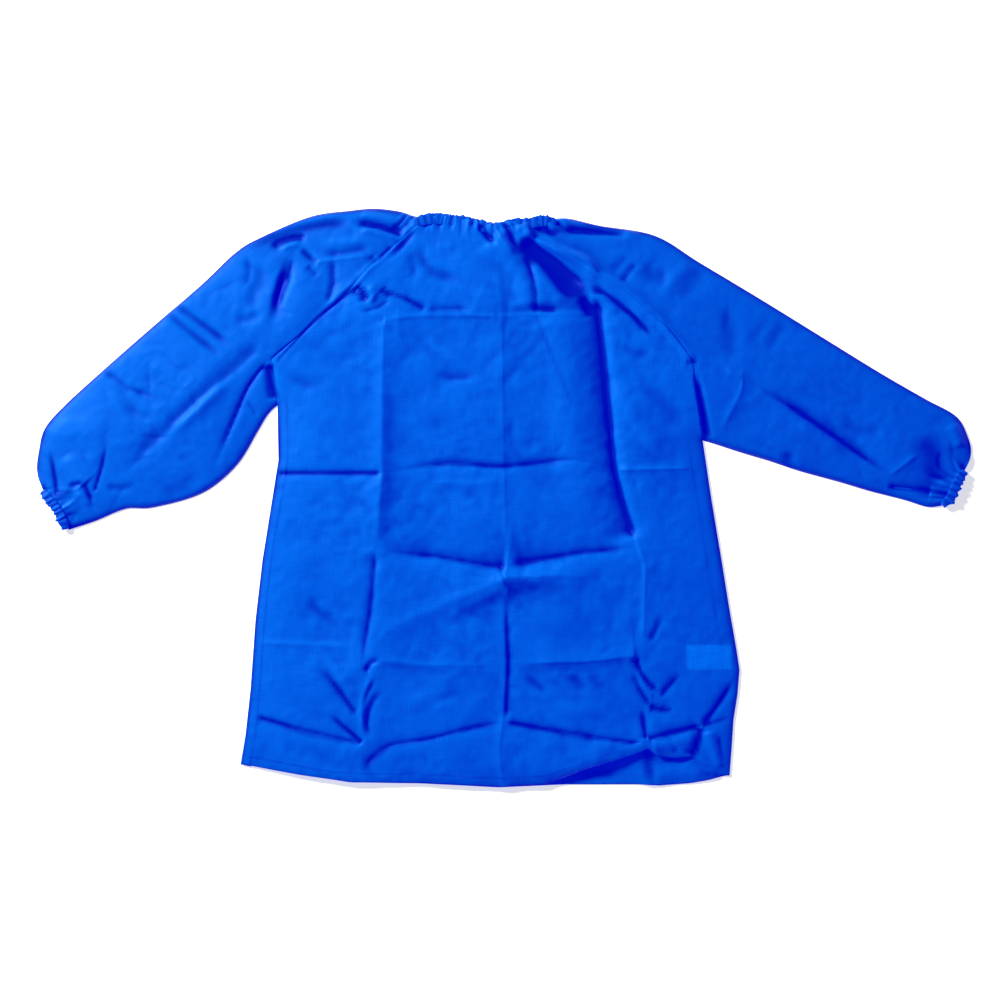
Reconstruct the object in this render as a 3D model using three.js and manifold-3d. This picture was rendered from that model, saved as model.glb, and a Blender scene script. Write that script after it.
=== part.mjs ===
// A child's artist smock, lying on its back on a table with the front upwards.
// Millimetres, +Z up, +Y from the hem to the neck, +X to the wearer's left.
// The cloth lies as two layers with air between them: the back panel and the undersides of the
// sleeves are on the table, and the front panel and the tops of the sleeves lie above them.
// Elastic runs round the neck and both cuffs in casings, and a slit in the back opens the neck.

import * as THREE from "three";
import { mergeVertices } from "three/addons/utils/BufferGeometryUtils.js";
import Module from "manifold-3d";

const wasm = await Module();
wasm.setup();

// Torso, measured flat
const BODY_LENGTH = 560; // middle of the hem to the neck casing
const HEM_WIDTH = 492;
const HEM_RISE = 16; // the hem's corners above its middle
const CHEST_WIDTH = 424; // between the lower ends of the raglan seams
const PANEL_NECK = 100; // gathered top edge of each panel
const RAGLAN_DROP = 140; // neck casing to the lower end of a raglan seam

// Cloth
const CLOTH = 1.2; // one layer, with its creases
const LOFT = 9; // air between the two layers
const HEM_DEPTH = 12; // cloth turned up along the hem
const CLEARANCE = 0.3; // between pieces that are sewn together
const SEAM_GAP = 0.4; // between the cut edges of two panels
const SEAM_WIDTH = 8; // seam allowance with its overlocking
const SEAM_PLY = 1.5;

// Neck and cuff casings, with the elastic inside
const NECK_WIDTH = 142;
const CUFF_WIDTH = 52;
const OPENING_HEIGHT = 5.8; // inside a casing that lies flat
const CASING_PLY = 0.8;
const CASING_MARGIN = 1.9; // casing beyond the elastic, where it is stitched
const ELASTIC_WIDTH = 10;
const ELASTIC_THICKNESS = 1.4;

// Slit down the back, and its hook and loop closure
const SLIT_LENGTH = 200;
const SLIT_GAP = 2;
const SLIT_LEAN = 22; // degrees: the back lies askew under the front
const FACING_WIDTH = 10;
const FACING_PLY = 1;
const TAB_LENGTH = 28;
const TAB_PLY = 0.7;
const PATCH_LENGTH = 22;
const PATCH_WIDTH = 10;
const PATCH_THICKNESS = 0.6;

// Care label, sewn into the side seam
const LABEL_LENGTH = 44;
const LABEL_WIDTH = 30;
const LABEL_THICKNESS = 0.5;
const LABEL_HEIGHT = 130; // its middle above the hem

// The sleeves fold over the front along a line beside the torso
const FOLD_MARGIN = 4; // fold line outside the hem's corner
const FOLD_GAP = 0.6; // between a sleeve's two parts

// Each sleeve lies at its own angle. Points are [outward, towards the neck]: shoulder and fold
// points from the neck's corner, the cuff from the fold line, and the corner from the cuff.
const SLEEVES = [
  {
    wearer: "left",
    side: 1,
    tuck: 74, // raglan seam's end down to where the sleeve leaves the side seam
    shoulder: [80, 12],
    foldTop: -59,
    foldBottom: -227,
    cuff: [226, -262],
    cuffTurn: -25,
    corner: [-30, 86],
    underarmBow: 0,
  },
  {
    wearer: "right",
    side: -1,
    tuck: 40,
    shoulder: [94, 40],
    foldTop: -26,
    foldBottom: -224,
    cuff: [190, -286],
    cuffTurn: -32,
    corner: [-9, 106],
    underarmBow: 20,
  },
];

const TOTAL = 2 * CLOTH + LOFT;
const FRONT_Z = CLOTH + LOFT; // underside of the front panel
const FOLD_X = HEM_WIDTH / 2 + FOLD_MARGIN;
const CASING_DEPTH = CASING_PLY + CLEARANCE + ELASTIC_WIDTH + CASING_MARGIN;
const CASING_WALL = 2 * CASING_PLY + ELASTIC_THICKNESS + 2 * CLEARANCE;
const CASING_HEIGHT = 2 * CASING_WALL + OPENING_HEIGHT;
const RAGLAN_END = new THREE.Vector2(CHEST_WIDTH / 2, BODY_LENGTH - RAGLAN_DROP);
const RAGLAN_TOP = new THREE.Vector2(PANEL_NECK / 2, BODY_LENGTH);
const HEM_CORNER = new THREE.Vector2(HEM_WIDTH / 2, HEM_RISE);

const finishes = {
  taffeta: new THREE.MeshStandardMaterial({ color: 0x0a5ae6, roughness: 0.5 }),
  taffetaInside: new THREE.MeshStandardMaterial({ color: 0x0749c4, roughness: 0.6 }),
  seam: new THREE.MeshStandardMaterial({ color: 0x063fae, roughness: 0.8 }),
  elastic: new THREE.MeshStandardMaterial({ color: 0xe9e9e4, roughness: 0.85 }),
  fastener: new THREE.MeshStandardMaterial({ color: 0x0c3f9c, roughness: 0.95 }),
  label: new THREE.MeshStandardMaterial({ color: 0xf2f2ee, roughness: 0.7 }),
};

const smock = new THREE.Group();

function add(name, geometry, material, turn = null) {
  const mesh = new THREE.Mesh(geometry, material);
  mesh.name = name;
  if (turn) mesh.applyMatrix4(turn);
  smock.add(mesh);
}

// Booleans

function solid(geometry) {
  const bare = geometry.clone();
  bare.deleteAttribute("normal");
  bare.deleteAttribute("uv");
  const merged = mergeVertices(bare, 1e-4);
  return new wasm.Manifold(
    new wasm.Mesh({
      numProp: 3,
      vertProperties: merged.attributes.position.array,
      triVerts: new Uint32Array(merged.index.array),
    }),
  );
}

function geometryOf(made) {
  const mesh = made.getMesh();
  const geometry = new THREE.BufferGeometry();
  geometry.setAttribute("position", new THREE.BufferAttribute(mesh.vertProperties, 3));
  geometry.setIndex(new THREE.BufferAttribute(mesh.triVerts, 1));
  return geometry;
}

// Simple solids

function slab(points, low, high) {
  const geometry = new THREE.ExtrudeGeometry(new THREE.Shape(points), {
    depth: high - low,
    bevelEnabled: false,
  });
  return geometry.translate(0, 0, low);
}

function block(x0, x1, y0, y1, z0, z1) {
  const geometry = new THREE.BoxGeometry(x1 - x0, y1 - y0, z1 - z0);
  return geometry.translate((x0 + x1) / 2, (y0 + y1) / 2, (z0 + z1) / 2);
}

// A strip of cloth or tape from one point to another, with its middle on the line between them.
function strip(from, to, width, low, high) {
  const across = to.clone().sub(from).normalize().multiplyScalar(width / 2);
  across.set(-across.y, across.x);
  const corners = [
    from.clone().sub(across),
    to.clone().sub(across),
    to.clone().add(across),
    from.clone().add(across),
  ];
  if (THREE.ShapeUtils.isClockWise(corners)) corners.reverse();
  return slab(corners, low, high);
}

function along(from, to, distance) {
  return from.clone().add(to.clone().sub(from).setLength(distance));
}

function mirrored(point, side) {
  return new THREE.Vector2(point.x * side, point.y);
}

// Front and back panels

// The hem is a shallow arc through its middle and both corners, raised by its turned-up depth.
function hemArc(raise, steps = 12) {
  const half = HEM_CORNER.x;
  const points = [];
  for (let i = 0; i <= steps; i++) {
    const x = -half + (2 * half * i) / steps;
    points.push(new THREE.Vector2(x, raise + HEM_RISE * (x / half) ** 2));
  }
  return points;
}

function panelOutline() {
  return [
    ...hemArc(0),
    RAGLAN_END.clone(),
    RAGLAN_TOP.clone(),
    mirrored(RAGLAN_TOP, -1),
    mirrored(RAGLAN_END, -1),
  ];
}

// A point on the line from the hem's corner to the raglan seam's end, at a height above the hem.
function sidePoint(height) {
  const share = (height - HEM_CORNER.y) / (RAGLAN_END.y - HEM_CORNER.y);
  return HEM_CORNER.clone().lerp(RAGLAN_END, share);
}

// The turned-up hem is a second layer on the inside, between the two side seams.
function hemBand(low, high) {
  const reach = sidePoint(HEM_RISE + HEM_DEPTH).x - SEAM_WIDTH - SEAM_GAP - CLEARANCE;
  const share = reach / HEM_CORNER.x;
  const lower = hemArc(0).map((p) => p.clone().setX(p.x * share));
  const upper = lower.map((p) => new THREE.Vector2(p.x, p.y + HEM_DEPTH)).reverse();
  return slab([...lower, ...upper], low, high);
}

function panel(low, hemLow, hemHigh) {
  return solid(slab(panelOutline(), low, low + CLOTH)).add(solid(hemBand(hemLow, hemHigh)));
}

const frontPanel = panel(FRONT_Z, FRONT_Z - CLOTH, FRONT_Z + CLOTH / 2);

// A block beside the slit, made upright and then leaned about the slit's top.
function besideSlit(x0, x1, z0, z1) {
  const made = block(x0, x1, -SLIT_LENGTH, SLIT_LENGTH / 4, z0, z1);
  made.rotateZ(THREE.MathUtils.degToRad(SLIT_LEAN));
  return solid(made.translate(0, BODY_LENGTH, 0));
}

const slitCut = besideSlit(-SLIT_GAP / 2, SLIT_GAP / 2, -CLOTH, 2 * CLOTH);
const backPanel = panel(0, CLOTH / 2, 2 * CLOTH).subtract(slitCut);
add("front_panel", geometryOf(frontPanel), finishes.taffeta);
add("back_panel", geometryOf(backPanel), finishes.taffeta);

// Sleeves

function neckCorner() {
  return new THREE.Vector2(NECK_WIDTH / 2 + SEAM_GAP, BODY_LENGTH);
}

function pathThrough(points) {
  const path = new THREE.Path();
  path.moveTo(points[0].x, points[0].y);
  points.slice(1).forEach((p) => path.lineTo(p.x, p.y));
  return path;
}

function foldLine(sleeve, x) {
  return [
    new THREE.Vector2(x, BODY_LENGTH + sleeve.foldBottom),
    new THREE.Vector2(x, BODY_LENGTH + sleeve.foldTop),
  ];
}

function cuffFrame(sleeve) {
  const turn = THREE.MathUtils.degToRad(sleeve.cuffTurn);
  const outward = new THREE.Vector2(Math.cos(turn), Math.sin(turn));
  const up = new THREE.Vector2(-outward.y, outward.x);
  const mouth = new THREE.Vector2(FOLD_X + sleeve.cuff[0], BODY_LENGTH + sleeve.cuff[1]);
  const root = mouth.clone().addScaledVector(outward, -CASING_DEPTH);
  return { turn, outward, up, mouth, root };
}

// Fills the space between four edges: lower and upper run outwards, start and end run upwards.
function patch(lower, upper, start, end, columns, rows) {
  const corner = [
    [start.getPointAt(0), start.getPointAt(1)],
    [end.getPointAt(0), end.getPointAt(1)],
  ];
  return columns.map((u) => {
    const low = lower.getPointAt(u);
    const high = upper.getPointAt(u);
    return rows.map((v) => {
      const point = low.clone().multiplyScalar(1 - v).addScaledVector(high, v);
      point.addScaledVector(start.getPointAt(v), 1 - u).addScaledVector(end.getPointAt(v), u);
      point.addScaledVector(corner[0][0], -(1 - u) * (1 - v));
      point.addScaledVector(corner[0][1], -(1 - u) * v);
      point.addScaledVector(corner[1][0], -u * (1 - v));
      return point.addScaledVector(corner[1][1], -u * v);
    });
  });
}

// A tube pressed flat over a grid of points: a lower and an upper layer joined along both long
// edges and open at both ends.
function flatTube(grid, side) {
  const last = grid[0].length - 1;
  const inner = grid.map((row) =>
    row.map((p, j) => {
      if (j > 0 && j < last) return p;
      return along(p, row[j === 0 ? 1 : last - 1], CLOTH);
    }),
  );
  const vertices = [];
  const shell = (rows, low, high) => {
    const base = vertices.length;
    rows.forEach((row) => {
      row.forEach((p) => vertices.push([p.x * side, p.y, low]));
      row.forEach((p) => vertices.push([p.x * side, p.y, high]));
    });
    return (i, j, top) => base + i * 2 * (last + 1) + (top ? last + 1 : 0) + j;
  };
  const outerAt = shell(grid, 0, TOTAL);
  const innerAt = shell(inner, CLOTH, TOTAL - CLOTH);
  const index = [];
  const quad = (a, b, c, d) => index.push(a, b, c, a, c, d);
  const skin = (at, flip) => {
    const face = flip ? (a, b, c, d) => quad(d, c, b, a) : quad;
    for (let i = 0; i + 1 < grid.length; i++) {
      for (let j = 0; j < last; j++) {
        face(at(i, j, 1), at(i + 1, j, 1), at(i + 1, j + 1, 1), at(i, j + 1, 1));
        face(at(i, j, 0), at(i, j + 1, 0), at(i + 1, j + 1, 0), at(i + 1, j, 0));
      }
      face(at(i, 0, 0), at(i + 1, 0, 0), at(i + 1, 0, 1), at(i, 0, 1));
      face(at(i, last, 0), at(i, last, 1), at(i + 1, last, 1), at(i + 1, last, 0));
    }
  };
  skin(outerAt, side < 0);
  skin(innerAt, side > 0);
  // The cut edge at each end runs round between the outer and the inner skin.
  [0, grid.length - 1].forEach((i) => {
    const loop = (at) => {
      const points = [];
      for (let j = 0; j <= last; j++) points.push(at(i, j, 0));
      for (let j = last; j >= 0; j--) points.push(at(i, j, 1));
      return points;
    };
    const outer = loop(outerAt);
    const inside = loop(innerAt);
    const flip = i === 0 !== side < 0;
    outer.forEach((_, k) => {
      const next = (k + 1) % outer.length;
      const corners = [outer[k], outer[next], inside[next], inside[k]];
      if (flip) corners.reverse();
      quad(...corners);
    });
  });
  const geometry = new THREE.BufferGeometry();
  geometry.setAttribute("position", new THREE.Float32BufferAttribute(vertices.flat(), 3));
  geometry.setIndex(index);
  return geometry;
}

const evenly = (count) => Array.from({ length: count + 1 }, (_, i) => i / count);

function shoulderGrid(sleeve) {
  const gap = new THREE.Vector2(SEAM_GAP, SEAM_GAP);
  const underarm = sidePoint(RAGLAN_END.y - sleeve.tuck).add(gap);
  const seamEnd = RAGLAN_END.clone().add(gap);
  const seamTop = new THREE.Vector2(RAGLAN_TOP.x + SEAM_GAP, BODY_LENGTH);
  const neck = neckCorner();
  const fold = foldLine(sleeve, FOLD_X - FOLD_GAP / 2);
  const upper = new THREE.Path();
  upper.moveTo(seamTop.x, seamTop.y);
  upper.lineTo(neck.x, neck.y);
  const [reach, rise] = sleeve.shoulder;
  upper.quadraticCurveTo(neck.x + reach, neck.y + rise, fold[1].x, fold[1].y);
  const start = pathThrough([underarm, seamEnd, seamTop]);
  const bend = underarm.distanceTo(seamEnd) / start.getLength();
  const rows = [0, bend / 2, bend, ...evenly(5).slice(1).map((v) => bend + (1 - bend) * v)];
  const neckShare = seamTop.distanceTo(neck) / upper.getLength();
  const columns = [0, ...evenly(8).map((u) => neckShare + (1 - neckShare) * u)];
  return patch(pathThrough([underarm, fold[0]]), upper, start, pathThrough(fold), columns, rows);
}

function cuffLine(sleeve) {
  const { root, up } = cuffFrame(sleeve);
  const half = CUFF_WIDTH / 2;
  return [root.clone().addScaledVector(up, -half), root.clone().addScaledVector(up, half)];
}

function armEdges(sleeve) {
  const fold = foldLine(sleeve, FOLD_X + FOLD_GAP / 2);
  const cuff = cuffLine(sleeve);
  const { mouth } = cuffFrame(sleeve);
  const corner = mouth.clone().add(new THREE.Vector2(...sleeve.corner));
  const beyond = fold[1].clone().lerp(corner, 1.16);
  const upper = new THREE.Path();
  upper.moveTo(fold[1].x, fold[1].y);
  upper.lineTo(corner.x, corner.y);
  upper.quadraticCurveTo(beyond.x, beyond.y, cuff[1].x, cuff[1].y);
  const bow = fold[0].clone().lerp(cuff[0], 0.35);
  bow.y -= sleeve.underarmBow;
  const lower = new THREE.Path();
  lower.moveTo(fold[0].x, fold[0].y);
  lower.quadraticCurveTo(bow.x, bow.y, cuff[0].x, cuff[0].y);
  return { lower, upper, start: pathThrough(fold), end: pathThrough(cuff) };
}

function armGrid(sleeve) {
  const { lower, upper, start, end } = armEdges(sleeve);
  return patch(lower, upper, start, end, evenly(14), evenly(5));
}

// Where the neck's casing sits on a sleeve, the sleeve's top edge is open to the neck.
const neckPass = solid(
  block(
    -NECK_WIDTH / 2 + CASING_WALL,
    NECK_WIDTH / 2 - CASING_WALL,
    BODY_LENGTH - CASING_WALL,
    BODY_LENGTH + CASING_DEPTH,
    CLOTH,
    TOTAL - CLOTH,
  ),
);

for (const sleeve of SLEEVES) {
  const shoulder = solid(flatTube(shoulderGrid(sleeve), sleeve.side)).subtract(neckPass);
  add(`${sleeve.wearer}_sleeve_shoulder`, geometryOf(shoulder), finishes.taffeta);
  add(`${sleeve.wearer}_sleeve_arm`, flatTube(armGrid(sleeve), sleeve.side), finishes.taffeta);
}

// Seam allowances, overlocked, on the inside

const sideStart = along(HEM_CORNER, RAGLAN_END, SEAM_GAP);
const inFromEdge = SEAM_WIDTH / 2 + SEAM_GAP / 2;
const seamLevels = { front: FRONT_Z - CLEARANCE - SEAM_PLY, back: CLOTH + CLEARANCE };

for (const { wearer, side } of SLEEVES) {
  const shift = new THREE.Vector2(-inFromEdge, 0);
  const from = mirrored(sideStart.clone().add(shift), side);
  const to = mirrored(RAGLAN_END.clone().add(shift), side);
  const sideSeam = strip(from, to, SEAM_WIDTH, CLOTH + CLEARANCE, FRONT_Z - CLEARANCE);
  add(`${wearer}_side_seam`, sideSeam, finishes.seam);
  for (const [face, low] of Object.entries(seamLevels)) {
    const top = mirrored(along(RAGLAN_TOP, RAGLAN_END, 2 * SEAM_WIDTH), side);
    const end = mirrored(along(RAGLAN_END, RAGLAN_TOP, 2 * SEAM_WIDTH), side);
    const seam = strip(top, end, SEAM_WIDTH, low, low + SEAM_PLY);
    add(`${wearer}_${face}_raglan_seam`, seam, finishes.seam);
  }
}

// The underarm seam follows the lower edge of the sleeve, inside it.
function underarmSeam(sleeve) {
  const { lower } = armEdges(sleeve);
  const points = lower.getSpacedPoints(10);
  const offset = (distance) =>
    points.map((p, i) => {
      const tangent = points[Math.min(i + 1, 10)].clone().sub(points[Math.max(i - 1, 0)]);
      tangent.normalize();
      return new THREE.Vector2(p.x - tangent.y * distance, p.y + tangent.x * distance);
    });
  const wall = 1.2 * CLOTH + CLEARANCE;
  const near = offset(wall).slice(0, -1);
  const far = offset(wall + SEAM_WIDTH).slice(0, -1).reverse();
  const outline = [...near, ...far].map((p) => mirrored(p, sleeve.side));
  if (THREE.ShapeUtils.isClockWise(outline)) outline.reverse();
  const middle = TOTAL / 2;
  return slab(outline, middle - SEAM_PLY / 2, middle + SEAM_PLY / 2);
}

for (const sleeve of SLEEVES) {
  add(`${sleeve.wearer}_underarm_seam`, underarmSeam(sleeve), finishes.seam);
}

// Casings and elastic. A ring is made with its depth along Z and its height along Y.

function stadium(width, height) {
  const radius = height / 2;
  const straight = width / 2 - radius;
  const shape = new THREE.Shape();
  shape.moveTo(-straight, -radius);
  shape.lineTo(straight, -radius);
  shape.absarc(straight, 0, radius, -Math.PI / 2, Math.PI / 2, false);
  shape.lineTo(-straight, radius);
  shape.absarc(-straight, 0, radius, Math.PI / 2, (3 * Math.PI) / 2, false);
  return shape;
}

function ring(width, outerInset, innerInset, from, to) {
  const shape = stadium(width - 2 * outerInset, CASING_HEIGHT - 2 * outerInset);
  shape.holes.push(stadium(width - 2 * innerInset, CASING_HEIGHT - 2 * innerInset));
  const geometry = new THREE.ExtrudeGeometry(shape, {
    depth: to - from,
    bevelEnabled: false,
    curveSegments: 6,
  });
  return solid(geometry.translate(0, 0, from));
}

// The cloth is turned in round the elastic, so the channel is open only towards the garment.
function casing(width) {
  const channel = ring(
    width,
    CASING_PLY,
    CASING_WALL - CASING_PLY,
    -CASING_PLY,
    CASING_DEPTH - CASING_PLY,
  );
  return ring(width, 0, CASING_WALL, 0, CASING_DEPTH).subtract(channel);
}

function elastic(width) {
  const inset = CASING_PLY + CLEARANCE;
  const end = CASING_DEPTH - CASING_PLY - CLEARANCE;
  return ring(width, inset, CASING_WALL - inset, end - ELASTIC_WIDTH, end);
}

// Turns a ring's depth to a direction in plan, and sets its lowest point on the table.
function ringPlace(root, direction) {
  const depth = new THREE.Vector3(direction.x, direction.y, 0);
  const height = new THREE.Vector3(0, 0, 1);
  const width = new THREE.Vector3().crossVectors(height, depth);
  const matrix = new THREE.Matrix4().makeBasis(width, height, depth);
  return matrix.setPosition(root.x, root.y, CASING_HEIGHT / 2);
}

for (const sleeve of SLEEVES) {
  const { root, outward } = cuffFrame(sleeve);
  const start = root.clone().addScaledVector(outward, CLEARANCE);
  const place = ringPlace(mirrored(start, sleeve.side), mirrored(outward, sleeve.side));
  add(`${sleeve.wearer}_cuff_casing`, geometryOf(casing(CUFF_WIDTH)), finishes.taffeta, place);
  add(`${sleeve.wearer}_cuff_elastic`, geometryOf(elastic(CUFF_WIDTH)), finishes.elastic, place);
}

// The neck's ring is parted at the slit. Past the slit on the wearer's left only the inner layer
// of the casing goes on, as the extension that carries the loop patch. In the ring's own frame the
// wearer's left is -X and the back is -Y.
const half = CASING_HEIGHT / 2;
const extensionLow = CASING_WALL - CASING_PLY;
const leftEnd = SLIT_GAP / 2 + TAB_LENGTH;
const deep = [-CASING_PLY, CASING_DEPTH + CASING_PLY];
const parting = solid(block(-SLIT_GAP / 2, SLIT_GAP / 2, -half - 1, 0, ...deep));
const notch = solid(block(-leftEnd, SLIT_GAP / 2, -half - 1, extensionLow - half, ...deep));
const neckStart = new THREE.Vector2(0, BODY_LENGTH + CLEARANCE);
const neckPlace = ringPlace(neckStart, new THREE.Vector2(0, 1));
const neckCasing = casing(NECK_WIDTH).subtract(parting).subtract(notch);
add("neck_casing", geometryOf(neckCasing), finishes.taffeta, neckPlace);

const elasticGap = solid(
  block(-leftEnd - CLEARANCE, SLIT_GAP / 2 + CASING_PLY, -half - 1, 0, ...deep),
);
const neckElastic = elastic(NECK_WIDTH).subtract(elasticGap);
add("neck_elastic", geometryOf(neckElastic), finishes.elastic, neckPlace);

// Slit facings, on the inside of the back panel

const facingLow = CLOTH + CLEARANCE;
const facingHigh = facingLow + FACING_PLY;
const underNeck = solid(slab(panelOutline(), facingLow - FACING_PLY, facingHigh + FACING_PLY));

for (const { wearer, side } of SLEEVES) {
  const edges = [(SLIT_GAP / 2) * side, (SLIT_GAP / 2 + FACING_WIDTH) * side];
  const strip = besideSlit(Math.min(...edges), Math.max(...edges), facingLow, facingHigh);
  add(`${wearer}_slit_facing`, geometryOf(strip.intersect(underNeck)), finishes.taffetaInside);
}

// Hook and loop closure: from the extension downwards come the loop patch, the hook patch and the
// tab, which is sewn to the other end of the casing and closes across the slit.

const casingMiddle = neckStart.y + CASING_DEPTH / 2;
const patchStart = SLIT_GAP / 2 + (TAB_LENGTH - PATCH_LENGTH) / 2;

function closurePiece(x0, x1, width, top, thickness) {
  const [y0, y1] = [casingMiddle - width / 2, casingMiddle + width / 2];
  return block(x0, x1, y0, y1, top - thickness, top);
}

const loopTop = extensionLow - CLEARANCE;
const hookTop = loopTop - PATCH_THICKNESS - CLEARANCE;
const tabTop = hookTop - PATCH_THICKNESS - CLEARANCE;
const patchPiece = (top) =>
  closurePiece(patchStart, patchStart + PATCH_LENGTH, PATCH_WIDTH, top, PATCH_THICKNESS);
add("loop_patch", patchPiece(loopTop), finishes.fastener);
add("hook_patch", patchPiece(hookTop), finishes.fastener);
const tab = closurePiece(0, TAB_LENGTH, CASING_DEPTH, tabTop, TAB_PLY);
add("closure_tab", tab, finishes.taffeta);

// Care label, caught in the left side seam against the front panel

const labelMiddle = sidePoint(LABEL_HEIGHT);
const labelEnd = sidePoint(LABEL_HEIGHT + LABEL_WIDTH / 2).x - SEAM_WIDTH - SEAM_GAP - CLEARANCE;
const labelTop = FRONT_Z - CLEARANCE;
const label = block(
  labelEnd - LABEL_LENGTH,
  labelEnd,
  labelMiddle.y - LABEL_WIDTH / 2,
  labelMiddle.y + LABEL_WIDTH / 2,
  labelTop - LABEL_THICKNESS,
  labelTop,
);
add("care_label", label, finishes.label);

// The origin is on the table, under the middle of the smock.
const box = new THREE.Box3().setFromObject(smock);
const middle = box.getCenter(new THREE.Vector3());
smock.position.set(-middle.x, -middle.y, -box.min.z);

export default smock;
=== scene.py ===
import math

import bmesh
import bpy
import numpy as np
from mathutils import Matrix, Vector


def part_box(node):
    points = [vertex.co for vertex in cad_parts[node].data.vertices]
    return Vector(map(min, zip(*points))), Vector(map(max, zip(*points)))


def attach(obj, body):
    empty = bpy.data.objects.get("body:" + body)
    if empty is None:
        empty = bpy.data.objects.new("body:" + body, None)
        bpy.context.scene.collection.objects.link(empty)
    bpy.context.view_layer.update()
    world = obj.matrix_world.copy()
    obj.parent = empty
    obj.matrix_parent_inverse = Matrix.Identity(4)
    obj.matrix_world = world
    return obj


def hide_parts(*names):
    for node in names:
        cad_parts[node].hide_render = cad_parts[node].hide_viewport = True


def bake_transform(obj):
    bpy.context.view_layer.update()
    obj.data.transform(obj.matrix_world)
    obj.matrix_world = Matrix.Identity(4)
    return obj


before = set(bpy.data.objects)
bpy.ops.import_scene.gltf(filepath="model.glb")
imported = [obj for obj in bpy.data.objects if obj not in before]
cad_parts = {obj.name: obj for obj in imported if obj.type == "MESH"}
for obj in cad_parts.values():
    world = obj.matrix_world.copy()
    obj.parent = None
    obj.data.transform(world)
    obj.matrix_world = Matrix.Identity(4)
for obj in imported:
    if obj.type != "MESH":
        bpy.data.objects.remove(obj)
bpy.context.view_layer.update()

MM = 0.001

# ---------------------------------------------------------------------------------------------
# The smock as it lies. It was folded small in a packet, so sharp creases cross it, and it has been
# laid down by hand, so its upper layer stands off the back in some places and touches it in others.
# The front and both sleeves take their height from this one surface.
# ---------------------------------------------------------------------------------------------

front_low, front_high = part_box("front_panel")
MIDDLE = (front_low.x + front_high.x) / 2
HEM = front_low.y

# Points on the smock are millimetres across from its middle and up from its hem.
LEFT_SIDE = [(-245, 20), (-240, 50), (-235, 95), (-230, 165), (-223, 225), (-215, 275),
             (-207, 325), (-208, 382), (-213, 426)]
RIGHT_SIDE = [(245, 9), (247, 35), (249, 65), (253, 90), (255, 115), (252, 135), (245, 175),
              (237, 225), (227, 285), (218, 345), (212, 385), (207, 425)]
LEFT_RAGLAN = [(-213, 426), (-172, 460), (-138, 492), (-113, 520), (-84, 545), (-58, 569)]
RIGHT_RAGLAN = [(207, 425), (183, 457), (138, 495), (107, 516), (66, 541), (33, 563)]
FRONT_HEM = [(-245, 20), (-185, 10), (-135, 3), (-65, 2), (15, -2), (60, 1), (80, 8), (100, 16),
             (127, 24), (150, 31), (163, 37), (172, 29), (190, 27), (206, 29), (220, 16), (245, 9)]
BACK_HEM = [(-245, 20), (-185, 10), (-135, 2), (-65, 1), (15, -3), (80, 0), (155, 0), (175, -1),
            (205, 1), (225, 4), (245, 9)]
NECK_TOP = [(-72, 572), (-55, 572), (-35, 571), (-15, 567), (5, 563), (30, 566), (45, 568),
            (60, 570), (72, 568)]
CASING_DEPTH = 12
HEM_TURN = 9  # from the hem's edge up to its stitches
CLOTH_PLY = 0.3

# Each sleeve from the neck out to the cuff, along its upper edge and along its lower one.
RIGHT_WEARER_UPPER = [(-58, 569), (-70, 569), (-85, 574), (-110, 577), (-135, 575), (-175, 569),
                      (-225, 548), (-250, 533), (-285, 500), (-335, 457), (-385, 413),
                      (-421, 380), (-441, 357), (-447, 335), (-449, 314), (-443, 296)]
RIGHT_WEARER_LOWER = [(-208, 382), (-218, 370), (-228, 353), (-246, 323), (-270, 300),
                      (-295, 287), (-335, 277), (-360, 276), (-390, 264), (-417, 255)]
LEFT_WEARER_UPPER = [(33, 563), (50, 565), (70, 567), (85, 567), (115, 560), (170, 550), (215, 523),
                     (275, 487), (335, 450), (395, 413), (440, 387), (472, 369), (484, 348),
                     (487, 331), (480, 314)]
LEFT_WEARER_LOWER = [(219, 345), (255, 333), (285, 324), (315, 314), (355, 303), (385, 294),
                     (420, 285), (443, 278), (457, 279)]


def across(points, y):
    """Where an edge that climbs the smock is, at a height above the hem."""
    points = np.array(points, float)
    return np.interp(y, points[:, 1], points[:, 0])


def upward(points, x):
    """How high an edge that crosses the smock is, at a distance from its middle."""
    points = np.array(points, float)
    return np.interp(x, points[:, 0], points[:, 1])


def on_smock(points):
    """Where points given in millimetres on the smock are in the scene."""
    return (np.array([MIDDLE, HEM, 0.0]) + np.asarray(points, float) * MM).tolist()


def smooth_step(value):
    value = np.clip(value, 0, 1)
    return value * value * (3 - 2 * value)


def rounded(points, step=6.0):
    """A curve through the points, as short straight pieces."""
    points = np.array(points, float)
    if len(points) < 3:
        return points
    ends = np.vstack([2 * points[0] - points[1], points, 2 * points[-1] - points[-2]])
    out = []
    for i in range(1, len(ends) - 2):
        before, start, end, after = ends[i - 1:i + 3]
        pieces = max(1, int(np.linalg.norm(end - start) / step))
        t = np.arange(pieces)[:, None] / pieces
        out.append(0.5 * (2 * start + (end - before) * t
                          + (2 * before - 5 * start + 4 * end - after) * t ** 2
                          + (3 * start - before - 3 * end + after) * t ** 3))
    return np.vstack([*out, points[-1:]])


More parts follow.
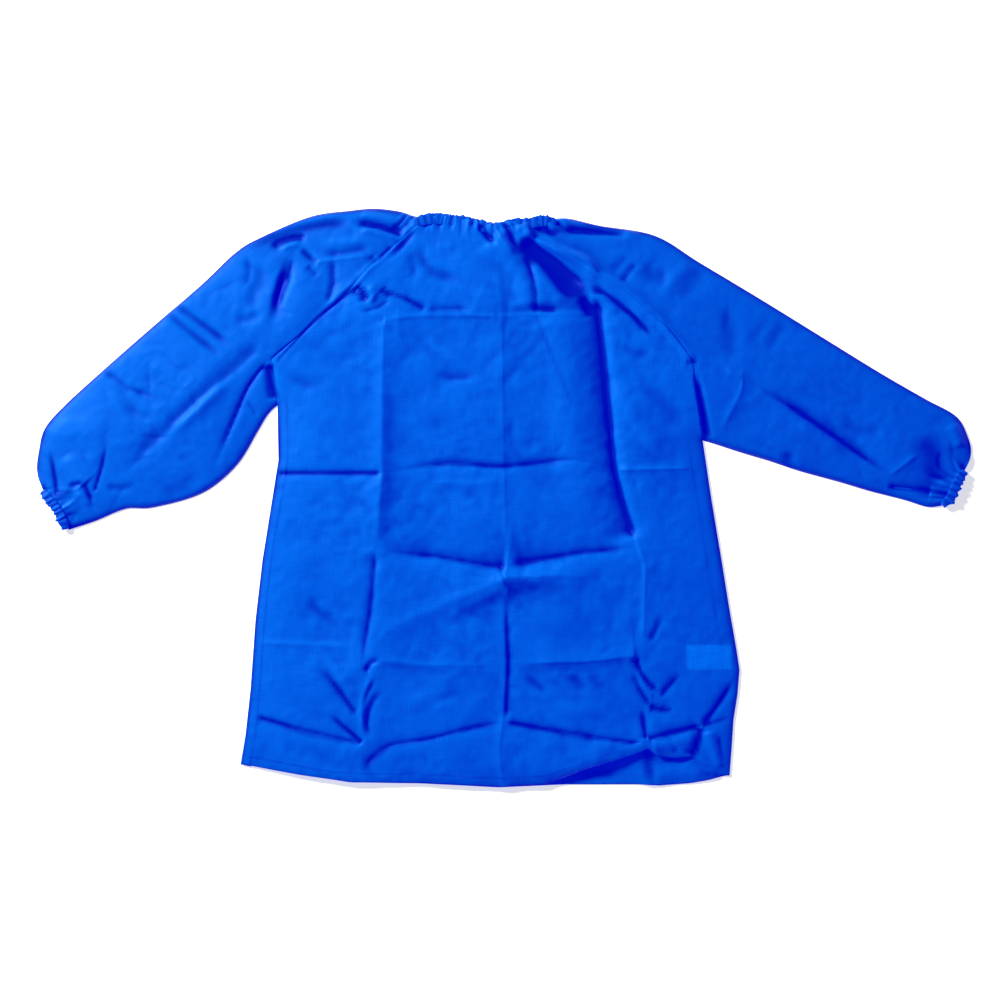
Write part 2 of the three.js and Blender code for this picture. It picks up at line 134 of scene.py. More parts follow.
def from_line(x, y, line):
    """Distance from a line, +1 on the left of its direction, and the share of it passed."""
    lengths = np.linalg.norm(np.diff(line, axis=0), axis=1)
    total = lengths.sum()
    nearest = np.full(x.shape, 1e9)
    side = np.ones(x.shape)
    share = np.zeros(x.shape)
    passed = 0.0
    for start, end, length in zip(line[:-1], line[1:], lengths):
        way = (end - start) / length
        along = np.clip((x - start[0]) * way[0] + (y - start[1]) * way[1], 0, length)
        dx = x - start[0] - along * way[0]
        dy = y - start[1] - along * way[1]
        distance = np.hypot(dx, dy)
        closer = distance < nearest - 1e-9
        nearest = np.where(closer, distance, nearest)
        side = np.where(closer, np.sign(way[0] * dy - way[1] * dx), side)
        share = np.where(closer, (passed + along) / total, share)
        passed += length
    return nearest, side, share


def fold(points, height, left, right=None, sharp=True, fade=(0.2, 0.2)):
    """A crease that stands up by a height, or sinks if it is negative. Left and right say how
    wide its two slopes are, looking along it, and fade how much of each end dies away."""
    return {"line": rounded(points) if not sharp or len(points) > 3 else np.array(points, float),
            "height": height, "left": left, "right": right or left, "sharp": sharp, "fade": fade}


def soft(points, height, left, right=None, fade=(0.2, 0.2)):
    """A fold that was never pressed, rounded over its back."""
    return fold(points, height, left, right, sharp=False, fade=fade)


def lie_of(folds, x, y):
    """The height that a list of folds adds at each point."""
    total = np.zeros(x.shape)
    for crease in folds:
        reach = 4.2 * max(crease["left"], crease["right"])
        low = crease["line"].min(axis=0) - reach
        high = crease["line"].max(axis=0) + reach
        near = (x > low[0]) & (x < high[0]) & (y > low[1]) & (y < high[1])
        if not near.any():
            continue
        distance, side, share = from_line(x[near], y[near], crease["line"])
        width = np.where(side > 0, crease["left"], crease["right"])
        power = 1.0 if crease["sharp"] else 2.0
        shape = np.exp(-(distance / width) ** power)
        first, last = crease["fade"]
        if first:
            shape = shape * (0.08 + 0.92 * smooth_step(share / first))
        if last:
            shape = shape * (0.08 + 0.92 * smooth_step((1 - share) / last))
        total[near] += crease["height"] * shape
    return total


def waves(seed, length, spread=0.35, size=1024):
    """Soft random waves of about one length, a millimetre to the cell, which repeat at the
    edges. Their root mean square is 1."""
    noise = np.fft.fft2(np.random.default_rng(seed).standard_normal((size, size)))
    pitch = np.fft.fftfreq(size)
    frequency = np.hypot(*np.meshgrid(pitch, pitch)) * length
    frequency[0, 0] = 1e-6
    band = np.exp(-(np.log(frequency) / spread) ** 2)
    made = np.fft.ifft2(noise * band).real
    return made / made.std()


def at(field, x, y):
    """A field's value at points in millimetres, between its cells."""
    size = field.shape[0]
    column, row = x % size, y % size
    left, low = np.floor(column).astype(int), np.floor(row).astype(int)
    u, v = column - left, row - low
    right, high = (left + 1) % size, (low + 1) % size
    left, low = left % size, low % size
    return ((field[low, left] * (1 - u) + field[low, right] * u) * (1 - v)
            + (field[high, left] * (1 - u) + field[high, right] * u) * v)


SLOW_WAVES = waves(3, 120)
MIDDLE_WAVES = waves(4, 42)
QUICK_WAVES = waves(5, 17, 0.45)
CRINKLES = np.abs(waves(6, 58, 0.6)) - 0.4 * np.abs(waves(7, 27, 0.6))
CALM = smooth_step(0.5 + 0.6 * waves(8, 150))

# The rim of the whole smock, from the neck round one sleeve, the hem and the other sleeve.
RIM = [rounded(edge, 12) for edge in (RIGHT_WEARER_UPPER[2:-1], RIGHT_WEARER_LOWER[::-1],
                                      LEFT_SIDE[:-1][::-1], RIGHT_SIDE[:-2], LEFT_WEARER_LOWER,
                                      LEFT_WEARER_UPPER[3:-1])]
LOFT = 9.5
RELIEF = 1.7


def gathers(line, count, direction, spread, lengths, height, seed, width=2.2):
    """Small folds that fan out from a gathered edge."""
    draw = np.random.default_rng(seed)
    line = rounded(line, 2)
    made = []
    for i in range(count):
        root = line[int((i + draw.uniform(0.2, 0.8)) / count * (len(line) - 1))]
        angle = math.radians(direction + spread * (2 * (i + 0.5) / count - 1)
                             + draw.uniform(-7, 7))
        length = draw.uniform(*lengths)
        tip = root + length * np.array([math.cos(angle), math.sin(angle)])
        bend = (root + tip) / 2 + draw.uniform(-0.08, 0.08, 2) * length
        up = height * draw.uniform(0.5, 1.0) * (1 if i % 2 else -1)
        wide = width * draw.uniform(0.7, 1.3)
        made.append(soft([root, bend, tip], up, wide, wide, fade=(0, 0.8)))
    return made


# Packet creases, from the neck downwards and then from side to side.
PACKET = [
    fold([(-101, 466), (-102, 305), (-108, 236)], 1.2, 8, 10, fade=(0.03, 0.12)),
    fold([(-103, 470), (-104, 305), (-110, 236)], 1.6, 8, 42, fade=(0.4, 0.2)),
    fold([(-109, 234), (-114, 182), (-120, 140), (-123, 116)], -2.3, 4, 9, fade=(0.1, 0.3)),
    fold([(14, 540), (17, 469), (19, 322), (23, 222)], 0.5, 4, 6, fade=(0.3, 0.05)),
    fold([(21, 180), (24, 121), (21, 64)], -1.7, 3.4, 3.4, fade=(0.2, 0.1)),
    fold([(17, 182), (20, 121), (17, 60), (14, 36), (18, 0)], 0.8, 5, 4, fade=(0.2, 0)),
    fold([(112, 489), (120, 416), (127, 345), (131, 312), (149, 244)], -6.0, 5, 17, fade=(0.06, 0.06)),
    soft([(74, 480), (84, 400), (92, 320), (116, 262)], 2.2, 22, 24, fade=(0.1, 0.2)),
    fold([(150, 250), (160, 220), (158, 147)], 1.1, 7, 4, fade=(0.15, 0.1)),
    fold([(-101, 464), (-76, 468), (-50, 470)], 0.9, 5, 5, fade=(0.02, 0.2)),
    fold([(-60, 469), (-20, 470), (12, 469)], 0.6, 4, 4, fade=(0.2, 0.05)),
    fold([(12, 469), (49, 471), (110, 471)], 0.6, 3, 3, fade=(0.05, 0.05)),
    fold([(-207, 312), (-102, 312)], -1.7, 2.6, 3.4, fade=(0.03, 0.05)),
    fold([(-100, 312), (-36, 322), (18, 319), (84, 325), (128, 316)], -1.6, 5, 3.5, fade=(0.35, 0.35)),
    fold([(131, 315), (207, 317)], 1.1, 3, 3, fade=(0.05, 0.15)),
    fold([(-60, 304), (-20, 301), (18, 303)], 0.7, 3, 3, fade=(0.3, 0.3)),
    fold([(-109, 235), (-46, 228), (22, 217)], -3.0, 17, 6, fade=(0.4, 0.05)),
    fold([(26, 220), (64, 227), (101, 233), (152, 237)], -3.6, 17, 6, fade=(0.1, 0.3)),
    fold([(-118, 132), (-93, 157), (-46, 179), (20, 206)], 1.7, 10, 11, fade=(0.4, 0.02)),
    fold([(21, 208), (70, 210), (125, 209)], 3.4, 10, 13, fade=(0.0, 0.75)),
    fold([(-226, 142), (-180, 141), (-128, 138)], 0.7, 3, 2.5, fade=(0.1, 0.2)),
    fold([(-104, 126), (-59, 120), (18, 121)], 0.7, 5, 3.6, fade=(0.1, 0.3)),
    fold([(25, 122), (101, 124), (152, 130)], 1.8, 14, 4, fade=(0.35, 0.03)),
    fold([(-228, 68), (-177, 54), (-122, 41)], -1.5, 3, 4.5, fade=(0.04, 0.12)),
    fold([(-123, 16), (-107, 33), (-90, 41), (-53, 47), (-20, 56), (16, 63)], -1.4, 3.6, 3,
         fade=(0.08, 0.12)),
    fold([(21, 63), (69, 55), (142, 43), (160, 43)], -1.7, 4, 3, fade=(0.06, 0.1)),
]

# Softer folds over the chest, the sides and below the waist.
SOFT = [
    soft([(-54, 416), (-36, 408), (-2, 410)], -1.0, 7, 4, fade=(0.4, 0.4)),
    soft([(-62, 450), (-52, 440), (-20, 420)], 0.7, 5, 5, fade=(0.4, 0.4)),
    soft([(132, 402), (154, 360), (184, 325)], 1.6, 9, 9, fade=(0.3, 0.3)),
    soft([(128, 436), (152, 430), (168, 436)], -0.9, 7, 7, fade=(0.3, 0.3)),
    soft([(160, 404), (180, 380), (196, 352)], -1.4, 12, 9, fade=(0.3, 0.3)),
    soft([(-201, 410), (-180, 402), (-157, 399)], -0.8, 6, 6, fade=(0.4, 0.4)),
    soft([(-173, 192), (-170, 176), (-158, 168), (-147, 158)], -0.8, 5, 5, fade=(0.3, 0.3)),
    fold([(-166, 118), (-152, 102), (-127, 70)], -1.7, 3, 5, fade=(0.4, 0.1)),
    soft([(-158, 128), (-140, 104), (-127, 86)], 0.9, 4, 5, fade=(0.3, 0.2)),
    fold([(-154, 72), (-144, 60), (-122, 42)], -1.8, 2.8, 3.2, fade=(0.3, 0.05)),
    soft([(-120, 112), (-114, 122), (-104, 127)], -1.3, 3, 2.6, fade=(0.2, 0.3)),
    soft([(-108, 108), (-116, 96), (-122, 78)], -1.1, 2.6, 2.6, fade=(0.3, 0.2)),
    soft([(-100, 96), (-112, 84), (-118, 62), (-114, 46)], -1.2, 2.6, 2.8, fade=(0.3, 0.2)),
    soft([(-112, 110), (-120, 90), (-123, 70), (-121, 50)], 1.1, 3, 3, fade=(0.2, 0.2)),
    soft([(-200, 40), (-150, 24), (-110, 22)], -0.7, 9, 9, fade=(0.3, 0.3)),
    fold([(150, 128), (156, 111), (172, 95)], -2.2, 2.6, 4, fade=(0.1, 0.1)),
    fold([(195, 115), (186, 103), (176, 89)], -1.9, 3, 3.6, fade=(0.45, 0.1)),
    fold([(147, 112), (155, 95), (165, 81)], -1.3, 2.4, 3, fade=(0.2, 0.1)),
    soft([(152, 118), (160, 98), (168, 88)], 0.9, 2.6, 2.6, fade=(0.2, 0.1)),
    fold([(164, 79), (176, 76), (190, 76)], -2.2, 3, 3.2, fade=(0.15, 0.4)),
    fold([(157, 76), (159, 60), (161, 46)], -2.0, 2.8, 3, fade=(0.3, 0.05)),
    soft([(164, 142), (172, 158), (176, 170)], -0.9, 4, 3, fade=(0.2, 0.4)),
    fold([(163, 46), (190, 53), (215, 59)], -2.2, 4, 2.8, fade=(0.05, 0.05)),
    fold([(215, 59), (234, 64), (248, 68)], -1.0, 2.6, 2.6, fade=(0.1, 0.3)),
    fold([(250, 106), (236, 84), (218, 60)], -2.2, 3, 3.2, fade=(0.3, 0.1)),
    fold([(217, 57), (212, 42), (207, 29)], -2.4, 3.4, 3.4, fade=(0.1, 0.05)),
    soft([(40, 112), (52, 100), (66, 92)], -0.9, 4, 4, fade=(0.4, 0.4)),
    soft([(84, 112), (94, 100), (100, 94)], -0.8, 5, 5, fade=(0.3, 0.3)),
    soft([(106, 112), (112, 100), (122, 97)], -0.8, 4.5, 4.5, fade=(0.3, 0.3)),
    soft([(60, 82), (100, 74), (134, 80)], 0.9, 9, 9, fade=(0.4, 0.4)),
    soft([(-85, 92), (-55, 82), (-25, 88)], 0.9, 10, 8, fade=(0.4, 0.4)),
    soft([(-66, 74), (-40, 88), (-20, 92)], -0.8, 5, 5, fade=(0.4, 0.4)),
    soft([(20, 22), (70, 16), (120, 30)], 1.3, 12, 10, fade=(0.3, 0.1)),
]

# Below the neck, under both raglan seams and along them.
NECK_AND_SEAMS = [
    soft([(34, 562), (48, 546), (75, 534), (102, 523), (112, 505)], 3.4, 5, 6, fade=(0.05, 0.1)),
    soft([(112, 512), (139, 496), (166, 472), (187, 449), (208, 424)], 1.5, 4, 5, fade=(0.05, 0.03)),
    soft([(40, 550), (56, 532), (78, 512), (102, 494)], -5.0, 8, 17, fade=(0.12, 0.25)),
    soft([(6, 550), (30, 525), (44, 500), (48, 474)], 2.6, 22, 16, fade=(0.1, 0.1)),
    soft([(98, 492), (102, 480), (108, 468)], -2.2, 5, 7, fade=(0.3, 0.2)),
    fold([(107, 498), (122, 490), (144, 473), (172, 443)], -2.6, 3, 4, fade=(0.08, 0.35)),
    soft([(104, 489), (118, 484), (136, 470)], 1.3, 4, 4, fade=(0.2, 0.3)),
    fold([(40, 532), (47, 508), (51, 484), (51, 470)], -2.0, 3, 3.5, fade=(0.15, 0.1)),
    soft([(46, 524), (62, 504), (80, 480)], 1.6, 5, 6, fade=(0.2, 0.2)),
    soft([(-6, 559), (2, 549), (12, 539)], -2.4, 3, 3, fade=(0.1, 0.3)),
    soft([(22, 560), (27, 547), (33, 534)], -2.2, 3, 3, fade=(0.1, 0.3)),
    soft([(8, 560), (18, 545), (30, 530)], 1.3, 3, 3, fade=(0.1, 0.4)),
    fold([(51, 477), (62, 475), (74, 475)], -1.4, 4, 3, fade=(0.3, 0.3)),
    soft([(-60, 568), (-79, 550), (-92, 537), (-111, 521), (-127, 503)], 1.0, 4, 4, fade=(0.02, 0.1)),
    soft([(-127, 504), (-140, 494), (-157, 478), (-178, 457), (-207, 426)], 0.8, 4, 3.5, fade=(0.05, 0.02)),
    fold([(-122, 501), (-147, 482), (-167, 467), (-188, 444), (-208, 423)], -1.5, 3, 4,
         fade=(0.1, 0.04)),
    fold([(-92, 539), (-99, 532), (-106, 524)], -1.8, 2.6, 3, fade=(0.2, 0.2)),
    soft([(-70, 556), (-80, 542), (-96, 526)], -1.3, 3, 4, fade=(0.2, 0.3)),
    soft([(-66, 540), (-60, 521), (-44, 510), (-15, 508)], -1.3, 5, 6, fade=(0.25, 0.4)),
    soft([(-77, 534), (-72, 518), (-72, 502)], -0.9, 5, 5, fade=(0.3, 0.3)),
    soft([(-130, 497), (-122, 491), (-120, 482)], -2.2, 4, 4, fade=(0.2, 0.2)),
    soft([(-116, 499), (-111, 490), (-114, 481)], 1.5, 3, 3, fade=(0.2, 0.2)),
    soft([(-104, 496), (-98, 491), (-94, 486)], -1.6, 3, 3, fade=(0.2, 0.3)),
    fold([(-100, 493), (-79, 486), (-59, 475)], -1.5, 3.5, 3, fade=(0.2, 0.1)),
    fold([(-123, 472), (-106, 477), (-94, 485)], -1.3, 3, 3, fade=(0.2, 0.2)),
    fold([(-56, 475), (-34, 477), (-10, 476)], -1.0, 3, 4, fade=(0.1, 0.4)),
    fold([(-50, 540), (-30, 538)], 0.6, 3, 3, fade=(0.3, 0.3)),
    *gathers([(-56, 569), (-20, 566), (12, 561), (34, 563)], 17, -90, 16, (7, 26), 1.0, 11),
]

# The lifted hem at the lower corner on the wearer's left.
LIFTED_HEM = [
    soft([(92, 22), (130, 32), (163, 42)], 1.6, 18, 12, fade=(0.4, 0)),
    soft([(166, 38), (190, 42), (210, 46)], 1.2, 7, 9, fade=(0.1, 0.1)),
    soft([(224, 54), (229, 36), (238, 16)], 1.6, 6, 6, fade=(0.05, 0.2)),
    soft([(234, 50), (236, 34), (240, 20)], -0.9, 2.6, 2.6, fade=(0.2, 0.2)),
    soft([(184, 48), (190, 38), (192, 30)], -0.8, 3, 3, fade=(0.2, 0.2)),
]

# Sleeves: long folds down each arm, the folds across it, and the gathers above each cuff.
SLEEVE_FOLDS = [
    soft([(-218, 447), (-247, 420), (-288, 385), (-331, 345), (-363, 310)], -1.3, 6, 8, fade=(0.15, 0.2)),
    soft([(-252, 410), (-290, 372), (-318, 346)], 1.3, 6, 6, fade=(0.3, 0.3)),
    soft([(-312, 482), (-284, 462), (-253, 439)], -1.5, 3.5, 4.5, fade=(0.2, 0.25)),
    soft([(-320, 474), (-292, 451), (-262, 427)], -1.3, 4, 4, fade=(0.2, 0.25)),
    fold([(-382, 415), (-355, 396), (-328, 387)], -1.3, 3.5, 4, fade=(0.15, 0.3)),
    soft([(-372, 405), (-352, 376), (-350, 360)], -0.8, 6, 6, fade=(0.3, 0.3)),
    soft([(-438, 353), (-400, 356), (-371, 354)], 1.3, 14, 12, fade=(0.3, 0.3)),
    fold([(-436, 336), (-431, 310), (-428, 290)], -1.2, 2, 2.4, fade=(0.4, 0.1)),
    fold([(-377, 344), (-383, 315), (-391, 291)], -1.2, 2, 2.4, fade=(0.4, 0.1)),
    soft([(-420, 332), (-408, 312), (-398, 300)], 1.4, 9, 9, fade=(0.3, 0.1)),
    soft([(-380, 298), (-362, 297), (-344, 303)], -0.7, 4, 5, fade=(0.2, 0.4)),
    soft([(-418, 298), (-404, 301), (-396, 292), (-392, 280)], -1.5, 2.6, 3, fade=(0.2, 0.3)),
    soft([(-412, 292), (-402, 288), (-398, 276)], 0.8, 5, 5, fade=(0.3, 0.3)),
    soft([(-330, 288), (-300, 300), (-286, 324)], -1.0, 10, 10, fade=(0.3, 0.4)),
    fold([(-218, 423), (-236, 399), (-250, 368), (-270, 322)], -1.9, 3, 2.8, fade=(0.08, 0.3)),
    fold([(-238, 384), (-232, 376), (-228, 368)], -0.8, 2.4, 2.4, fade=(0.2, 0.2)),
    soft([(-216, 420), (-214, 402), (-211, 386)], -2.6, 5, 5, fade=(0.05, 0.05)),
    soft([(-196, 526), (-202, 506), (-208, 484), (-213, 460)], -3.4, 7, 4, fade=(0.4, 0.45)),
    fold([(-192, 527), (-196, 508), (-200, 494)], -1.0, 2.6, 2.6, fade=(0.2, 0.4)),
    soft([(-222, 524), (-228, 496), (-240, 470)], -1.4, 11, 9, fade=(0.3, 0.3)),
    soft([(-238, 530), (-236, 512), (-240, 496)], -0.8, 4, 4, fade=(0.3, 0.3)),
    soft([(-252, 464), (-236, 466), (-222, 472)], -0.8, 5, 5, fade=(0.3, 0.3)),
    soft([(-184, 520), (-180, 485), (-204, 436)], 0.8, 15, 12, fade=(0.2, 0.2)),
    soft([(-215, 536), (-207, 543), (-191, 548), (-177, 548)], -1.7, 3, 5, fade=(0.2, 0.2)),
    soft([(-205, 535), (-193, 540), (-184, 541)], 1.0, 3, 3, fade=(0.3, 0.3)),
    soft([(-244, 545), (-212, 559), (-175, 569), (-135, 574)], 2.0, 6, 9, fade=(0.2, 0.2)),
    soft([(-238, 535), (-205, 551), (-165, 561), (-132, 563)], -1.6, 7, 6, fade=(0.3, 0.2)),
    soft([(-184, 536), (-172, 524), (-166, 520)], -1.4, 3, 3, fade=(0.2, 0.2)),
    soft([(-166, 543), (-140, 542), (-112, 546)], 0.8, 5, 5, fade=(0.3, 0.3)),
    soft([(-164, 530), (-135, 533), (-112, 539)], -0.8, 4, 4, fade=(0.3, 0.3)),
    fold([(-176, 521), (-145, 526), (-115, 529)], 1.0, 3, 3.5, fade=(0.1, 0.1)),
    fold([(-115, 529), (-107, 520)], -1.3, 2.6, 2.6, fade=(0.2, 0.3)),
    fold([(-178, 519), (-167, 507)], -1.2, 3, 3, fade=(0.2, 0.3)),
    soft([(-152, 527), (-152, 500), (-158, 479)], -1.2, 3.5, 4, fade=(0.2, 0.2)),
    soft([(-130, 562), (-106, 559), (-80, 549)], -2.2, 5, 3.5, fade=(0.2, 0.15)),
    soft([(-126, 556), (-104, 551), (-86, 544)], 1.2, 3.5, 4, fade=(0.2, 0.2)),
    soft([(-126, 572), (-108, 567), (-86, 562)], 1.2, 5, 4, fade=(0.2, 0.2)),
    soft([(-74, 566), (-84, 558), (-96, 556)], -1.2, 3, 3, fade=(0.2, 0.3)),
    soft([(155, 520), (168, 510), (186, 506)], -1.3, 12, 10, fade=(0.3, 0.3)),
    soft([(222, 518), (208, 504), (192, 484)], -0.9, 9, 9, fade=(0.3, 0.35)),
    soft([(206, 524), (190, 504), (174, 486)], 0.8, 8, 8, fade=(0.2, 0.35)),
    soft([(145, 530), (134, 520), (124, 512)], -0.7, 3.5, 4, fade=(0.3, 0.3)),
    soft([(152, 522), (143, 512), (136, 502)], -1.2, 3, 3, fade=(0.25, 0.2)),
    soft([(236, 481), (245, 457), (244, 417)], -0.9, 9, 9, fade=(0.3, 0.3)),
    fold([(241, 415), (256, 407)], 1.0, 3, 3, fade=(0.2, 0.1)),
    fold([(257, 419), (256, 395), (246, 374), (236, 353)], 1.2, 4, 4, fade=(0.2, 0.25)),
    soft([(303, 464), (293, 450), (281, 430)], -0.6, 6, 7, fade=(0.3, 0.4)),
    soft([(288, 474), (272, 450), (261, 432)], -0.4, 6, 6, fade=(0.3, 0.4)),
    fold([(270, 398), (298, 383), (327, 363), (364, 338), (406, 309)], -4.4, 12, 4, fade=(0.35, 0.3)),
    soft([(302, 372), (332, 352), (366, 328)], 1.6, 8, 7, fade=(0.3, 0.3)),
    fold([(404, 309), (418, 320), (434, 332)], 1.3, 4, 4, fade=(0.2, 0.3)),
    soft([(436, 352), (448, 330), (452, 298)], -2.4, 14, 13, fade=(0.3, 0.2)),
    soft([(466, 362), (474, 346), (476, 336)], 1.6, 6, 7, fade=(0.2, 0.2)),
    soft([(440, 356), (450, 362), (462, 372)], -0.4, 6, 6, fade=(0.3, 0.3)),
    soft([(303, 335), (303, 314)], -1.4, 6, 6, fade=(0.3, 0.2)),
    soft([(355, 366), (372, 356), (400, 352)], -1.1, 8, 8, fade=(0.3, 0.3)),
    fold([(401, 298), (424, 296), (447, 292)], -3.0, 4, 3, fade=(0.2, 0.05)),
    soft([(209, 414), (217, 380), (223, 348)], -2.4, 4, 3, fade=(0.3, 0.02)),
    fold([(200, 423), (213, 422)], -1.2, 2, 2, fade=(0.2, 0.1)),
    soft([(74, 568), (110, 563), (160, 552)], 3.4, 4, 9, fade=(0.1, 0.2)),
    soft([(78, 555), (110, 553), (152, 550)], -2.8, 6, 3, fade=(0.15, 0.3)),
    soft([(50, 559), (62, 553), (76, 552)], -1.6, 3, 3, fade=(0.1, 0.2)),
    soft([(56, 563), (66, 558), (74, 556)], 1.4, 3, 3, fade=(0.1, 0.2)),
    *gathers([(-443, 296), (-428, 272), (-417, 255)], 13, 27, 34, (10, 30), 0.9, 21, 2.2),
    *gathers([(480, 314), (470, 296), (457, 279)], 15, 155, 36, (12, 40), 1.0, 22, 2.2),
    *gathers([(-60, 569), (-72, 570), (-84, 573)], 6, -150, 25, (14, 34), 1.4, 23),
    *gathers([(36, 563), (56, 565), (74, 567)], 8, -55, 28, (10, 28), 1.6, 24),
]


def short_creases(count, seed):
    """Small sharp marks all over, left by handling."""
    draw = np.random.default_rng(seed)
    made = []
    while len(made) < count:
        x, y = draw.uniform(-440, 480), draw.uniform(5, 560)
        angle, length = draw.uniform(0, math.pi), draw.uniform(14, 60)
        tip = (x + length * math.cos(angle), y + length * math.sin(angle))
        up = draw.uniform(0.15, 0.5) * draw.choice([-1, 1])
        wide = draw.uniform(2.4, 4.5)
        made.append(fold([(x, y), tip], up, wide, wide, fade=(0.5, 0.5)))
    return made


SEAM_GROOVES = [fold(LEFT_RAGLAN, -0.6, 1.6, 1.6, fade=(0, 0)),
                fold(RIGHT_RAGLAN, -0.6, 1.6, 1.6, fade=(0, 0))]

